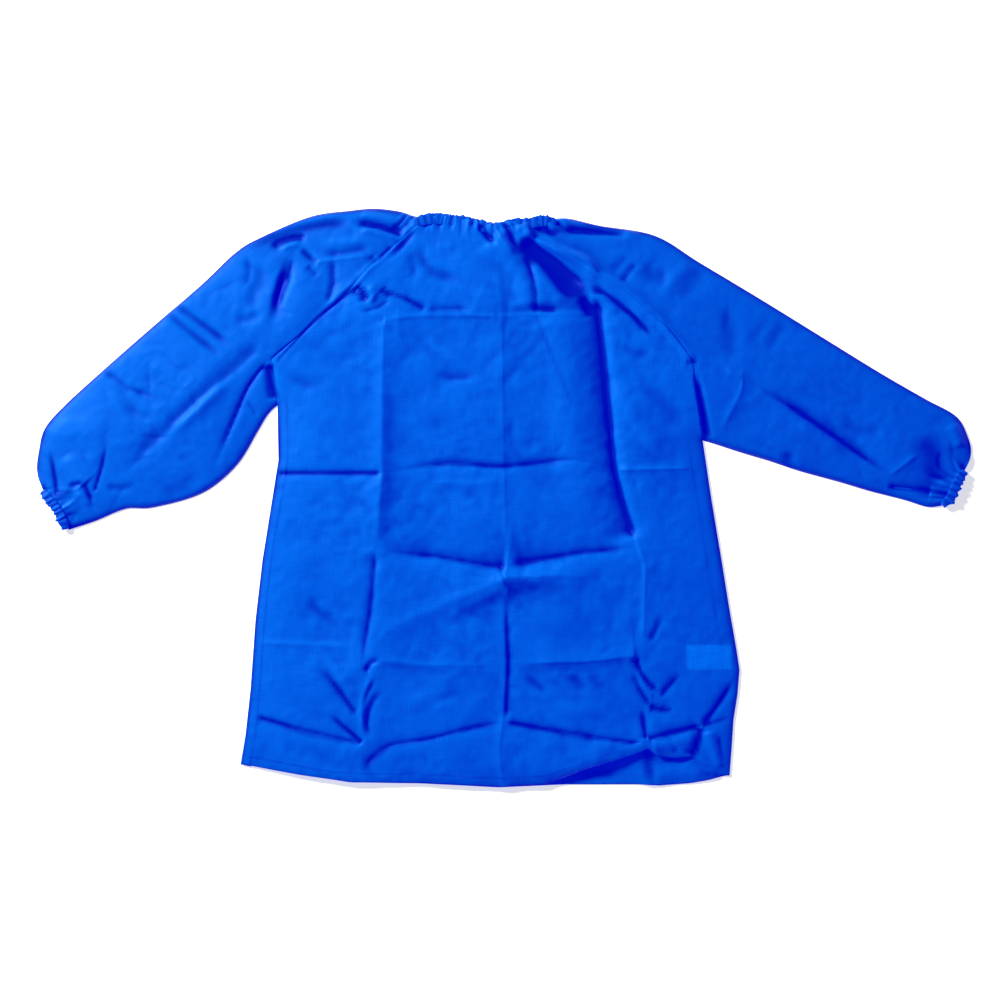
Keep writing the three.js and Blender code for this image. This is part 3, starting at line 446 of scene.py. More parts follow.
# Painted shade: where the cloth is doubled under itself or pinched, these marks darken its colour, whatever
# its height and whatever the light.
PAINTED_SHADE_MARKS = [
    soft([(36, 553), (58, 531), (80, 509), (104, 488)], 1.1, 6, 17, fade=(0.08, 0.12)),
    soft([(62, 514), (80, 498), (98, 482)], 0.9, 12, 11, fade=(0.4, 0.1)),
    soft([(96, 488), (102, 477), (108, 465)], 0.7, 5, 6, fade=(0.2, 0.3)),
    soft([(107, 498), (114, 486), (144, 472), (171, 444)], 0.7, 2.4, 3, fade=(0.1, 0.4)),
    soft([(40, 532), (47, 508), (51, 484), (51, 470)], 0.5, 2.4, 2.5, fade=(0.2, 0.2)),
    soft([(51, 476), (62, 475), (74, 474)], 0.5, 2.5, 2.5, fade=(0.2, 0.3)),
    soft([(70, 555), (95, 558), (150, 551)], 0.8, 6, 6, fade=(0.1, 0.6)),
    soft([(206, 414), (214, 377), (220, 346)], 0.8, 4, 3, fade=(0.5, 0)),
    soft([(21, 202), (50, 204), (84, 206)], 0.75, 3.5, 9, fade=(0.02, 0.6)),
    soft([(22, 191), (40, 194), (64, 198)], 0.4, 8, 9, fade=(0.02, 0.6)),
    soft([(-100, 493), (-79, 486), (-60, 476)], 0.55, 2.5, 2.5, fade=(0.2, 0.2)),
    soft([(-131, 500), (-122, 494), (-116, 484)], 0.75, 4, 6, fade=(0.2, 0.2)),
    soft([(-127, 560), (-106, 558), (-82, 550)], 0.65, 2.4, 3.5, fade=(0.2, 0.2)),
    soft([(-239, 535), (-175, 559), (-132, 567)], 0.4, 6, 12, fade=(0.3, 0.2)),
    soft([(-215, 536), (-207, 542), (-191, 548), (-178, 548)], 0.45, 2.5, 3, fade=(0.2, 0.3)),
    soft([(-198, 538), (-206, 506), (-212, 468)], 0.5, 8, 9, fade=(0.3, 0.3)),
    soft([(-113, 124), (-86, 120), (-52, 117)], 0.4, 3, 3, fade=(0.2, 0.5)),
    soft([(-166, 120), (-150, 103), (-130, 71)], 0.6, 3, 3.5, fade=(0.4, 0.1)),
    soft([(-154, 70), (-132, 51), (-122, 41)], 0.55, 2.5, 2.5, fade=(0.3, 0.1)),
    soft([(-228, 68), (-201, 60), (-177, 50), (-123, 41)], 0.45, 3, 3, fade=(0.05, 0.5)),
    soft([(-125, 12), (-110, 26), (-93, 41)], 0.55, 3, 3, fade=(0.2, 0.2)),
    soft([(-86, 39), (-39, 51), (15, 61)], 0.35, 2.4, 2.5, fade=(0.2, 0.2)),
    soft([(-109, 228), (-115, 166), (-120, 137)], 0.35, 4, 3, fade=(0.3, 0.3)),
    soft([(-50, 158), (-12, 179), (18, 194)], 0.65, 4, 8, fade=(0.6, 0.05)),
    soft([(21, 196), (22, 120), (20, 62)], 0.5, 3.5, 2.4, fade=(0.05, 0.2)),
    soft([(99, 126), (130, 127), (156, 130)], 0.45, 2.4, 4, fade=(0.5, 0.05)),
    soft([(150, 126), (157, 110), (163, 100), (174, 92)], 0.85, 2.4, 2.4, fade=(0.2, 0.05)),
    soft([(150, 103), (160, 86), (167, 76)], 0.7, 2.4, 2.4, fade=(0.3, 0.05)),
    soft([(199, 115), (187, 103), (174, 90)], 0.6, 2.4, 2.4, fade=(0.3, 0.05)),
    soft([(163, 77), (176, 75), (190, 74)], 0.75, 2.4, 2.4, fade=(0.1, 0.3)),
    soft([(157, 70), (159, 58), (160, 46)], 0.75, 2.4, 2.4, fade=(0.3, 0.1)),
    soft([(164, 144), (170, 156), (174, 166)], 0.4, 4, 3, fade=(0.3, 0.4)),
    soft([(248, 103), (231, 76), (217, 56)], 0.65, 2.6, 2.6, fade=(0.3, 0.1)),
    soft([(163, 45), (190, 52), (217, 58), (246, 67)], 0.55, 3, 2.4, fade=(0.05, 0.2)),
    soft([(217, 55), (214, 39), (207, 26)], 0.85, 3, 4, fade=(0.15, 0.05)),
    soft([(22, 63), (55, 56), (96, 47), (147, 42)], 0.55, 2.4, 2.8, fade=(0.03, 0.5)),
    soft([(59, 107), (79, 100)], 0.22, 2.6, 3, fade=(0.3, 0.3)),
    soft([(89, 110), (103, 96)], 0.22, 2.6, 3, fade=(0.3, 0.3)),
    soft([(109, 113), (123, 96)], 0.2, 2.6, 3, fade=(0.3, 0.3)),
    soft([(-207, 312), (-102, 312)], 0.4, 2.4, 2.4, fade=(0.03, 0.1)),
    soft([(131, 315), (207, 317)], 0.35, 2.4, 2.4, fade=(0.1, 0.3)),
    soft([(-70, 321), (18, 319), (84, 325)], 0.35, 2.4, 2.4, fade=(0.3, 0.3)),
    soft([(14, 540), (17, 469), (19, 322), (23, 222)], 0.42, 2.4, 2.4, fade=(0.3, 0.05)),
    soft([(-99, 430), (-99, 305), (-105, 240)], 0.42, 7, 2.4, fade=(0.3, 0.1)),
    soft([(-100, 465), (-50, 468), (12, 467)], 0.5, 2.4, 2.8, fade=(0.1, 0.1)),
    soft([(-54, 414), (-36, 407), (-2, 409)], 0.2, 3, 3, fade=(0.3, 0.3)),
    soft([(448, 352), (448, 326), (452, 298)], 0.45, 12, 15, fade=(0.35, 0.05)),
    soft([(424, 303), (440, 298), (456, 292), (470, 286)], 0.85, 6, 5, fade=(0.4, 0.05)),
    soft([(467, 347), (466, 330), (471, 312)], 0.8, 2.4, 3, fade=(0.3, 0.05)),
    soft([(456, 336), (453, 326), (455, 314)], 0.5, 2.4, 2.4, fade=(0.3, 0.3)),
    soft([(484, 332), (480, 322), (474, 312)], 0.5, 3, 3, fade=(0.3, 0.1)),
    soft([(-434, 334), (-431, 312), (-427, 290)], 0.6, 2.4, 2.4, fade=(0.3, 0.1)),
    soft([(-378, 342), (-384, 318), (-391, 292)], 0.55, 2.4, 2.4, fade=(0.3, 0.1)),
    soft([(-379, 301), (-363, 298), (-344, 305)], 0.16, 2.4, 2.6, fade=(0.2, 0.4)),
    soft([(-432, 289), (-421, 291), (-411, 296)], 0.85, 3, 3, fade=(0.1, 0.3)),
    soft([(-426, 272), (-414, 271), (-405, 274)], 0.85, 2.6, 3, fade=(0.1, 0.3)),
    soft([(-404, 295), (-396, 288), (-395, 277)], 0.65, 2.4, 2.4, fade=(0.3, 0.2)),
    soft([(-420, 258), (-400, 262), (-384, 268)], 0.5, 2.4, 2.4, fade=(0.1, 0.4)),
    soft([(-442, 304), (-441, 296), (-438, 290)], 0.6, 2.4, 2.4, fade=(0.3, 0.1)),
]
FRONT_FOLDS = [*SEAM_GROOVES, *PACKET, *SOFT, *NECK_AND_SEAMS, *LIFTED_HEM, *SLEEVE_FOLDS,
               *short_creases(170, 31)]


def front_height(x, y):
    """How high the upper layer of the smock stands above the table, in millimetres."""
    shape = x.shape
    x, y = x.ravel(), y.ravel()
    rim = np.full(x.shape, 1e9)
    for line in RIM:
        rim = np.minimum(rim, from_line(x, y, line)[0])
    hem = np.abs(y - upward(FRONT_HEM, x)) + np.where(np.abs(x) < 250, 0, 1e3)
    body = 1 - 0.75 * np.exp(-rim / 45) - 0.25 * np.exp(-rim / 3)
    sag = 1 - 0.55 * np.exp(-hem / 30)
    height = LOFT * body * sag
    height += body * (0.8 * at(SLOW_WAVES, x, y) + 0.2 * at(MIDDLE_WAVES, x, y))
    height += body * 0.07 * at(QUICK_WAVES, x, y)
    height += body * (0.1 + 0.3 * at(CALM, x, y)) * at(CRINKLES, x, y)
    height += RELIEF * lie_of(FRONT_FOLDS, x, y) * (1 - np.exp(-rim / 4))
    turned = (hem < HEM_TURN + 0.5) & (y < 60)
    height += 0.35 * turned
    floor = 1.5
    height = floor + np.logaddexp(0, (height - 0.4) * 1.6) / 1.6
    return height.reshape(shape)


# Little light reaches down into a hollow, so the cloth there is seen by what has been back and forth
# between its folds. That shade is painted into its colour: each point of cloth keeps how deep it lies below
# what is round it, and is darkened by that much.
GRID = 2.4
GRID_LEFT, GRID_LOW = -480, -20
grid_x, grid_y = np.meshgrid(np.arange(GRID_LEFT, 516, GRID), np.arange(GRID_LOW, 604, GRID))
surface_grid = front_height(grid_x, grid_y)
rows_pitch = np.fft.fftfreq(surface_grid.shape[0], GRID)[:, None]
columns_pitch = np.fft.fftfreq(surface_grid.shape[1], GRID)[None, :]


def blurred(field, reach):
    spread = np.exp(-2 * (math.pi * reach) ** 2 * (rows_pitch ** 2 + columns_pitch ** 2))
    return np.fft.ifft2(np.fft.fft2(field) * spread).real


painted_shade_grid = (0.5 * (blurred(surface_grid, 13) - surface_grid) / 2.8
               + 0.5 * (blurred(surface_grid, 4.5) - surface_grid) / 0.9)


# Painted shade at points in millimetres: the depth below what is round, with the painted shade marks added.
def painted_shade_at(x, y):
    column = np.clip((x - GRID_LEFT) / GRID, 0, painted_shade_grid.shape[1] - 1.001)
    row = np.clip((y - GRID_LOW) / GRID, 0, painted_shade_grid.shape[0] - 1.001)
    left, low = column.astype(int), row.astype(int)
    u, v = column - left, row - low
    value = ((painted_shade_grid[low, left] * (1 - u) + painted_shade_grid[low, left + 1] * u) * (1 - v)
             + (painted_shade_grid[low + 1, left] * (1 - u) + painted_shade_grid[low + 1, left + 1] * u) * v)
    value += lie_of(PAINTED_SHADE_MARKS, x.ravel(), y.ravel()).reshape(x.shape)
    return np.clip(value, -0.1, 1.16)


# What shows through the cloth from inside: the label, paler, and as faint dark lines the edge of
# the slit's facing and of the side seams.
LABEL_LOW, LABEL_HIGH = (201, 116), (247, 140)
SHOWN_LINES = [(np.array([(51, 468), (86, 382)], float), 1.9, 0.4),
               (rounded([(x + 9.5, y) for x, y in LEFT_SIDE[:-1]]), 1.1, 0.4),
               (rounded([(x - 15, y) for x, y in RIGHT_SIDE[5:-2]]), 1.1, 0.3),
               (rounded([(x, y + HEM_TURN) for x, y in FRONT_HEM[:7]]), 0.9, 0.4)]


def shown_at(x, y):
    shape = x.shape
    x, y = x.ravel(), y.ravel()
    value = np.zeros(x.shape)
    for line, wide, dark in SHOWN_LINES:
        distance, side, share = from_line(x, y, line)
        value -= dark * np.exp(-(distance / wide) ** 2)
    inside = np.minimum(np.minimum(x - LABEL_LOW[0], LABEL_HIGH[0] - x),
                        np.minimum(y - LABEL_LOW[1], LABEL_HIGH[1] - y))
    value += smooth_step(inside / 2.5 + 0.5)
    return value.reshape(shape)


# Keeps on each point of cloth its painted shade and how much of what is inside shows through.
def mark_cloth(mesh, painted_shade, shown):
    for name, values in (("painted_shade", painted_shade), ("shown", shown)):
        layer = mesh.attributes.new(name, "FLOAT", "POINT")
        layer.data.foreach_set("value", values.ravel().astype(float))


def uneven(count, dense):
    """Steps from 0 to 1, closer together at both ends."""
    t = np.linspace(0, 1, count + 1)
    return t - dense * np.sin(2 * math.pi * t) / (2 * math.pi)


def lines_between(anchors, counts, dense=0.5):
    """Places between each pair of anchors, packed close to the anchors. Anchors are arrays."""
    made = [anchors[0]]
    for low, high, count in zip(anchors[:-1], anchors[1:], counts):
        for t in uneven(count, dense)[1:]:
            made.append(low + (high - low) * t)
    return np.array(made)


def panel_grid(hem, neck_drop, columns, rows):
    """Rows of points over a body panel, which run along its packet creases."""
    nominal = [0, 50, 122, 214, 315, 469, 556]
    levels = lines_between([np.array(v, float) for v in nominal], rows, 0.4)
    left_y = np.interp(levels, nominal, [20, 56, 123, 214, 315, 469, 569])
    right_y = np.interp(levels, nominal, [9, 54, 123, 214, 315, 469, 563])
    left = np.where(left_y <= 426, across(LEFT_SIDE, left_y), across(LEFT_RAGLAN, left_y))
    right = np.where(right_y <= 425, across(RIGHT_SIDE, right_y), across(RIGHT_RAGLAN, right_y))
    width = right - left
    crease_left = np.interp(levels, [0, 40, 75, 140, 236, 470], [-121, -120, -126, -120, -108, -101])
    crease_left = np.maximum(crease_left, left + 0.2 * width)
    crease_right = np.interp(levels, [0, 45, 147, 220, 250, 312, 416, 489],
                             [165, 161, 158, 160, 150, 131, 120, 111])
    crease_right = np.minimum(crease_right, right - 0.17 * width)
    centre = np.interp(levels, [0, 38, 64, 121, 178, 217, 322, 469, 556],
                       [20, 16, 21, 24, 21, 22, 19, 17, -10])
    x = lines_between([left, crease_left, centre, crease_right, right], columns).T
    wander = [
        upward(hem, x),
        50 + upward([(-226, 68), (-122, 40), (-91, 40), (20, 62), (161, 44), (246, 68)], x) - 50,
        upward([(-226, 140), (-119, 120), (20, 120), (101, 124), (158, 134), (240, 134)], x),
        upward([(-226, 232), (-109, 235), (22, 212), (152, 237), (240, 232)], x),
        upward([(-207, 312), (18, 319), (84, 324), (207, 317)], x),
        np.full(x.shape, 469.0),
        upward(NECK_TOP, x) - neck_drop + 0.7 * np.sin(x * 1.05 + 2 * np.sin(x * 0.21)),
    ]
    y = np.empty(x.shape)
    for row, level in enumerate(levels):
        i = min(np.searchsorted(nominal, level, side="right") - 1, 5)
        share = (level - nominal[i]) / (nominal[i + 1] - nominal[i])
        y[row] = wander[i][row] * (1 - share) + wander[i + 1][row] * share
    # Towards both sides a row meets the edge at its own level, so that the seams stay straight.
    for edge, level in ((left, left_y), (right, right_y)):
        straight = np.exp(-np.abs(x - edge[:, None]) / 10)
        y = y * (1 - straight) + level[:, None] * straight
    return x, y


def cloth_mesh(name, x, y, z, loop=False):
    """A mesh through rows of points in millimetres, closed round each row if it is a loop."""
    rows, columns = x.shape
    points = np.stack([x, y, z], axis=-1).reshape(-1, 3)
    faces = []
    across_count = columns if loop else columns - 1
    for row in range(rows - 1):
        for column in range(across_count):
            after = (column + 1) % columns
            faces.append((row * columns + column, row * columns + after,
                          (row + 1) * columns + after, (row + 1) * columns + column))
    mesh = bpy.data.meshes.new(name)
    mesh.from_pydata(on_smock(points), [], faces)
    mesh.polygons.foreach_set("use_smooth", [True] * len(faces))
    return mesh


def lay_uv(mesh, u, v):
    """Gives each vertex its place on the flat cloth, in metres."""
    layer = mesh.uv_layers.new(name="cloth")
    vertex = np.empty(len(mesh.loops), int)
    mesh.loops.foreach_get("vertex_index", vertex)
    layer.data.foreach_set("uv", np.stack([u.ravel()[vertex], v.ravel()[vertex]], 1).ravel())


def face_outward(mesh):
    """Turns the faces of a closed mesh so that they look out of it."""
    shell = bmesh.new()
    shell.from_mesh(mesh)
    bmesh.ops.recalc_face_normals(shell, faces=shell.faces)
    shell.to_mesh(mesh)
    shell.free()


def make_object(name, mesh, material, ply=None):
    made = bpy.data.objects.new(name, mesh)
    bpy.context.scene.collection.objects.link(made)
    made.data.materials.append(material)
    if ply:
        solid = made.modifiers.new("ply", "SOLIDIFY")
        solid.thickness = ply * MM
        solid.offset = -1
    return made


def linear(hex_colour):
    """An sRGB hex colour as linear RGBA."""
    channels = [int(hex_colour[i:i + 2], 16) / 255 for i in (0, 2, 4)]
    return [c / 12.92 if c <= 0.04045 else ((c + 0.055) / 1.055) ** 2.4 for c in channels] + [1]


def new_material(name):
    material = bpy.data.materials.new(name)
    material.use_nodes = True
    material.node_tree.nodes.clear()
    return material


def node(tree, kind, settings=None, inputs=None, links=None):
    """Adds a node, with its settings, its inputs' values and the outputs that feed it."""
    made = tree.nodes.new(kind)
    for name, value in (settings or {}).items():
        setattr(made, name, value)
    for name, value in (inputs or {}).items():
        made.inputs[name].default_value = value
    for name, output in (links or {}).items():
        tree.links.new(output, made.inputs[name])
    return made


def plain_material(name, inputs):
    """One finish all over."""
    material = new_material(name)
    shader = node(material.node_tree, "ShaderNodeBsdfPrincipled", inputs=inputs)
    node(material.node_tree, "ShaderNodeOutputMaterial", links={"Surface": shader.outputs[0]})
    return material


# Nylon taffeta, plain woven from bright filament and lightly coated inside. It has a crisp hand,
# a cool satin glow on whatever faces the light, and slubs that show as faint streaks along both
# sets of threads. The threads are 0.12 mm apart, too fine to see, so the streaks are drawn about
# 1 mm apart.
SLUB_PITCH = 1.1 * MM
SLUB_LENGTH = 18 * MM


def taffeta(name, light, dark):
    material = new_material(name)
    tree = material.node_tree
    cloth = node(tree, "ShaderNodeUVMap", {"uv_map": "cloth"}).outputs["UV"]

    def streaks(scale, seed):
        turned = node(tree, "ShaderNodeMapping", inputs={"Scale": scale, "Location": seed},
                      links={"Vector": cloth})
        return node(tree, "ShaderNodeTexNoise", inputs={"Scale": 1.0, "Detail": 2.0},
                    links={"Vector": turned.outputs[0]}).outputs[0]

    warp = streaks((1 / SLUB_PITCH, 1 / SLUB_LENGTH, 1), (3, 7, 1))
    weft = streaks((1 / SLUB_LENGTH, 1 / SLUB_PITCH, 1), (11, 5, 2))
    weave = node(tree, "ShaderNodeMath", {"operation": "ADD"}, links={0: warp, 1: weft})
    patches = node(tree, "ShaderNodeTexNoise", inputs={"Scale": 24.0, "Detail": 4.0},
                   links={"Vector": cloth})
    tone = node(tree, "ShaderNodeMath", {"operation": "MULTIPLY_ADD"}, inputs={1: 0.3},
                links={0: patches.outputs[0]})
    halved = node(tree, "ShaderNodeMath", {"operation": "MULTIPLY"}, inputs={1: 0.7},
                  links={0: weave.outputs[0]})
    tree.links.new(halved.outputs[0], tone.inputs[2])
    colour = node(tree, "ShaderNodeMix", {"data_type": "RGBA"},
                  links={"Factor": tone.outputs[0]})
    colour.inputs["A"].default_value = linear(dark)
    colour.inputs["B"].default_value = linear(light)
    # Painted shade: the colour is darkened by the shade kept on each point of cloth, and made paler where
    # the label shows through.
    shown = node(tree, "ShaderNodeAttribute", {"attribute_name": "shown"})
    painted_shade = node(tree, "ShaderNodeAttribute", {"attribute_name": "painted_shade"})
    depth = node(tree, "ShaderNodeMath", {"operation": "MULTIPLY_ADD"}, inputs={1: -0.82, 2: 1.0},
                 links={0: painted_shade.outputs["Fac"]})
    bright = node(tree, "ShaderNodeMath", {"operation": "MULTIPLY_ADD"}, inputs={1: 0.9},
                  links={0: shown.outputs["Fac"], 2: depth.outputs[0]})
    surface = node(tree, "ShaderNodeVectorMath", {"operation": "SCALE"},
                   links={0: colour.outputs["Result"], "Scale": bright.outputs[0]}).outputs[0]
    crumple = node(tree, "ShaderNodeTexNoise",
                   {"noise_type": "RIDGED_MULTIFRACTAL"},
                   {"Scale": 62.0, "Detail": 5.0, "Roughness": 0.7}, {"Vector": cloth})
    crumpled = node(tree, "ShaderNodeBump", inputs={"Strength": 0.6, "Distance": 1.3 * MM},
                links={"Height": crumple.outputs[0]})
    fine = node(tree, "ShaderNodeBump", inputs={"Strength": 0.5, "Distance": 0.16 * MM},
                links={"Height": weave.outputs[0], "Normal": crumpled.outputs[0]})
    # The cloth glows a faint blue of its own (the emission below): painted light that stands in for the
    # blue light passed back and forth between its folds, and keeps its shaded parts blue.
    shader = node(tree, "ShaderNodeBsdfPrincipled", inputs={
        "Roughness": 0.48, "IOR": 1.5, "Specular IOR Level": 0.4,
        "Specular Tint": linear("0060ff"), "Sheen Weight": 0.1, "Sheen Roughness": 0.4,
        "Sheen Tint": linear("0070ff"), "Emission Color": linear("0000ff"),
        "Emission Strength": 0.47}, links={"Base Color": surface, "Normal": fine.outputs[0]})
    node(tree, "ShaderNodeOutputMaterial", links={"Surface": shader.outputs[0]})
    return material


# ---------------------------------------------------------------------------------------------
# The front. One A-line panel of light taffeta, cut with raglan corners, gathered into the neck
# and hemmed.
# ---------------------------------------------------------------------------------------------

front_taffeta = taffeta("nylon_taffeta_front", "01568d", "013967")
x, y = panel_grid(FRONT_HEM, 2.5, (44, 52, 52, 44), (24, 34, 42, 46, 62, 40))
z = front_height(x, y)
front = make_object("front_panel_cloth", cloth_mesh("front_panel_cloth", x, y, z), front_taffeta,
                    ply=CLOTH_PLY)
lay_uv(front.data, x * MM, y * MM)
# Painted shade darkens the front's colour in its hollows and along its marks.
mark_cloth(front.data, painted_shade_at(x, y), shown_at(x, y))
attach(front, "torso")
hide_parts("front_panel")

# ---------------------------------------------------------------------------------------------
# The back. The same cloth and cut, with a slit down from the neck. It lies on the table under
# the front and shows only where the front hem has ridden up.
# ---------------------------------------------------------------------------------------------

SLIT_TOP = (0, 560)
SLIT_FOOT = (75, 375)
BACK_FOLDS = [
    fold([(150, 36), (158, 20), (160, 8), (166, -2)], 2.0, 6, 5, fade=(0.1, 0)),
    fold([(158, 22), (180, 22), (206, 28)], -1.5, 4, 4, fade=(0.1, 0.1)),
    soft([(90, 10), (120, 8), (150, 14)], -0.8, 8, 8, fade=(0.3, 0.3)),
    fold([(206, 28), (218, 14), (238, 7)], 1.2, 4, 4, fade=(0.1, 0.1)),
    soft([(128, 22), (132, 10), (140, 0)], 0.8, 5, 5, fade=(0.2, 0.1)),
    soft([(168, 8), (236, 15)], 2.6, 9, 9, fade=(0.1, 0.1)),
    soft([(-16, 556), (38, 553)], 3.4, 15, 15, fade=(0, 0)),
]
# Painted shade on the back panel: marks that darken its colour along its folds at the hem.
BACK_PAINTED_SHADE_MARKS = [
    soft([(160, 40), (163, 20), (168, -2)], 0.95, 5, 5, fade=(0.05, 0.4)),
    soft([(79, 6), (130, 12), (134, 22)], 0.8, 7, 3, fade=(0.4, 0.2)),
    fold([(163, 26), (182, 25), (202, 26)], 0.75, 3, 2.5, fade=(0.1, 0.1)),
    fold([(205, 30), (217, 14), (238, 7)], 0.75, 3, 3, fade=(0.1, 0.2)),
]


def back_height(x, y):
    """How high the upper side of the back panel is, in millimetres."""
    height = 0.5 + 0.25 * at(MIDDLE_WAVES, x + 300, y)
    height += lie_of(BACK_FOLDS, x.ravel(), y.ravel()).reshape(x.shape)
    return 0.42 + np.logaddexp(0, height * 3) / 3


back_taffeta = taffeta("nylon_taffeta_back", "01558a", "013967")
BACK_COLUMNS = (20, 24, 24, 30)
x, y = panel_grid(BACK_HEM, CASING_DEPTH - 1, BACK_COLUMNS, (16, 18, 22, 24, 32, 24))
slit_column = sum(BACK_COLUMNS[:2])
slit_x = np.interp(y[:, slit_column], [0, SLIT_FOOT[1], SLIT_TOP[1]],
                   [20, SLIT_FOOT[0], SLIT_TOP[0]])
pull = slit_x - x[:, slit_column]
reach_left = np.linspace(0, 1, slit_column + 1)
reach_right = np.linspace(1, 0, x.shape[1] - slit_column)
x[:, :slit_column + 1] += pull[:, None] * reach_left
x[:, slit_column:] += pull[:, None] * reach_right
open_slit = (y[:, slit_column] > SLIT_FOOT[1]).astype(float)
z = back_height(x, y)


def joined_halves(x, y, z, column):
    """Two copies of a column, 2 mm apart where the slit is open."""
    parts = []
    for array, shift in ((x, 1.0), (y, 0.0), (z, 0.0)):
        left, right = array[:, :column + 1].copy(), array[:, column:].copy()
        left[:, -1] -= shift * open_slit
        right[:, 0] += shift * open_slit
        parts.append(np.hstack([left, right]))
    return parts


x, y, z = joined_halves(x, y, z, slit_column)
mesh = cloth_mesh("back_panel_cloth", x, y, z)
lay_uv(mesh, x * MM, y * MM)

shell = bmesh.new()
shell.from_mesh(mesh)
between = [f for f in shell.faces
           if f.index % (x.shape[1] - 1) == slit_column]
bmesh.ops.delete(shell, geom=between, context="FACES")
bmesh.ops.remove_doubles(shell, verts=shell.verts, dist=0.05 * MM)
shell.to_mesh(mesh)
shell.free()
places = np.empty(len(mesh.vertices) * 3)
mesh.vertices.foreach_get("co", places)
places = places.reshape(-1, 3)
# The back panel's colour is darkened by its painted shade marks.
shade = lie_of(BACK_PAINTED_SHADE_MARKS, (places[:, 0] - MIDDLE) / MM, (places[:, 1] - HEM) / MM)
mark_cloth(mesh, np.clip(shade, 0, 1), np.zeros(len(places)))
back = make_object("back_panel_cloth", mesh, back_taffeta, ply=CLOTH_PLY)
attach(back, "torso")
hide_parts("back_panel")

# ---------------------------------------------------------------------------------------------
# The sleeves. Each is one piece of taffeta, joined under the arm into a tube, which is wide at
# the raglan seams and narrows into its cuff. They lie flat, folded along the shoulder.
# ---------------------------------------------------------------------------------------------


def spaced(points, count):
    """Evenly spaced points along a curve."""
    line = rounded(points, 3)
    along = np.concatenate([[0], np.cumsum(np.linalg.norm(np.diff(line, axis=0), axis=1))])
    share = np.linspace(0, along[-1], count + 1)
    return np.stack([np.interp(share, along, line[:, i]) for i in (0, 1)], axis=1)


def sleeve_patch(lower, upper, start, end, length_count, width_count):
    """Points over a sleeve from its four edges: [along the arm][from its lower edge up]."""
    low, high = spaced(lower, length_count), spaced(upper, length_count)
    near, far = spaced(start, width_count), spaced(end, width_count)
    u = np.linspace(0, 1, length_count + 1)[:, None, None]
    v = np.linspace(0, 1, width_count + 1)[None, :, None]
    ruled = low[:, None] * (1 - v) + high[:, None] * v
    other = near[None] * (1 - u) + far[None] * u
    corners = (near[0] * (1 - u) * (1 - v) + near[-1] * (1 - u) * v
               + far[0] * u * (1 - v) + far[-1] * u * v)
    return ruled + other - corners


ALONG_ARM = 260
ACROSS_ARM = 108
sleeve_taffeta = taffeta("nylon_taffeta_sleeves", "015285", "013663")
SLEEVES = {
    "right": {"lower": RIGHT_WEARER_LOWER, "upper": RIGHT_WEARER_UPPER,
              "start": [(-208, 382), *LEFT_RAGLAN], "end": [(-417, 255), (-428, 272), (-443, 296)],
              "turn": 42, "fold_x": -250},
    "left": {"lower": LEFT_WEARER_LOWER, "upper": LEFT_WEARER_UPPER,
             "start": [(219, 345), (212, 385), *RIGHT_RAGLAN], "end": [(457, 279), (470, 296), (480, 314)],
             "turn": -32, "fold_x": 250},
}
for wearer, sleeve in SLEEVES.items():
    patch = sleeve_patch(sleeve["lower"], sleeve["upper"], sleeve["start"], sleeve["end"],
                         ALONG_ARM, ACROSS_ARM)
    steps = np.arange(ALONG_ARM + 1)[:, None]
    inward = -3.0 if sleeve["fold_x"] > 0 else 3.0
    patch[..., 0] += inward * np.exp(-steps / 7)
    top_x, top_y = patch[..., 0], patch[..., 1]
    tucked = np.exp(-(steps * 0.9 / 3) ** 2)
    top_z = front_height(top_x, top_y) - 0.6 * tucked
    under = patch[:, 1:-1][:, ::-2]
    under_z = 0.45 + 0.12 * at(QUICK_WAVES, under[..., 0], under[..., 1])
    x = np.hstack([top_x, under[..., 0]])
    y = np.hstack([top_y, under[..., 1]])
    z = np.hstack([top_z, np.maximum(under_z, 0.3)])
    z[:, 0] = z[:, ACROSS_ARM] = 1.0
    if wearer == "left":
        x, y, z = (array[:, ::-1] for array in (x, y, z))
    mesh = cloth_mesh(f"{wearer}_sleeve_cloth", x, y, z, loop=True)
    turn = math.radians(sleeve["turn"])
    lay_uv(mesh, (x * math.cos(turn) - y * math.sin(turn)) * MM,
           (x * math.sin(turn) + y * math.cos(turn)) * MM)
    # Painted shade: the sleeves are darkened by the same marks as the front, and their undersides by the
    # marks over their tops.
    mark_cloth(mesh, painted_shade_at(x, y), np.zeros(x.shape))
    cloth = make_object(f"{wearer}_sleeve_cloth", mesh, sleeve_taffeta, ply=CLOTH_PLY)
    side = 1 if sleeve["fold_x"] > 0 else -1
    line = MIDDLE + sleeve["fold_x"] * MM
    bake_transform(cloth)
    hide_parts(f"{wearer}_sleeve_shoulder", f"{wearer}_sleeve_arm")

# ---------------------------------------------------------------------------------------------
# The gathered casings. At the neck and at each cuff the cloth is turned over an elastic and sewn
# down, which draws it up into a narrow tube with a pleat every few millimetres and a wavy edge.
# Each lies flattened, its upper half over its lower one.
# ---------------------------------------------------------------------------------------------


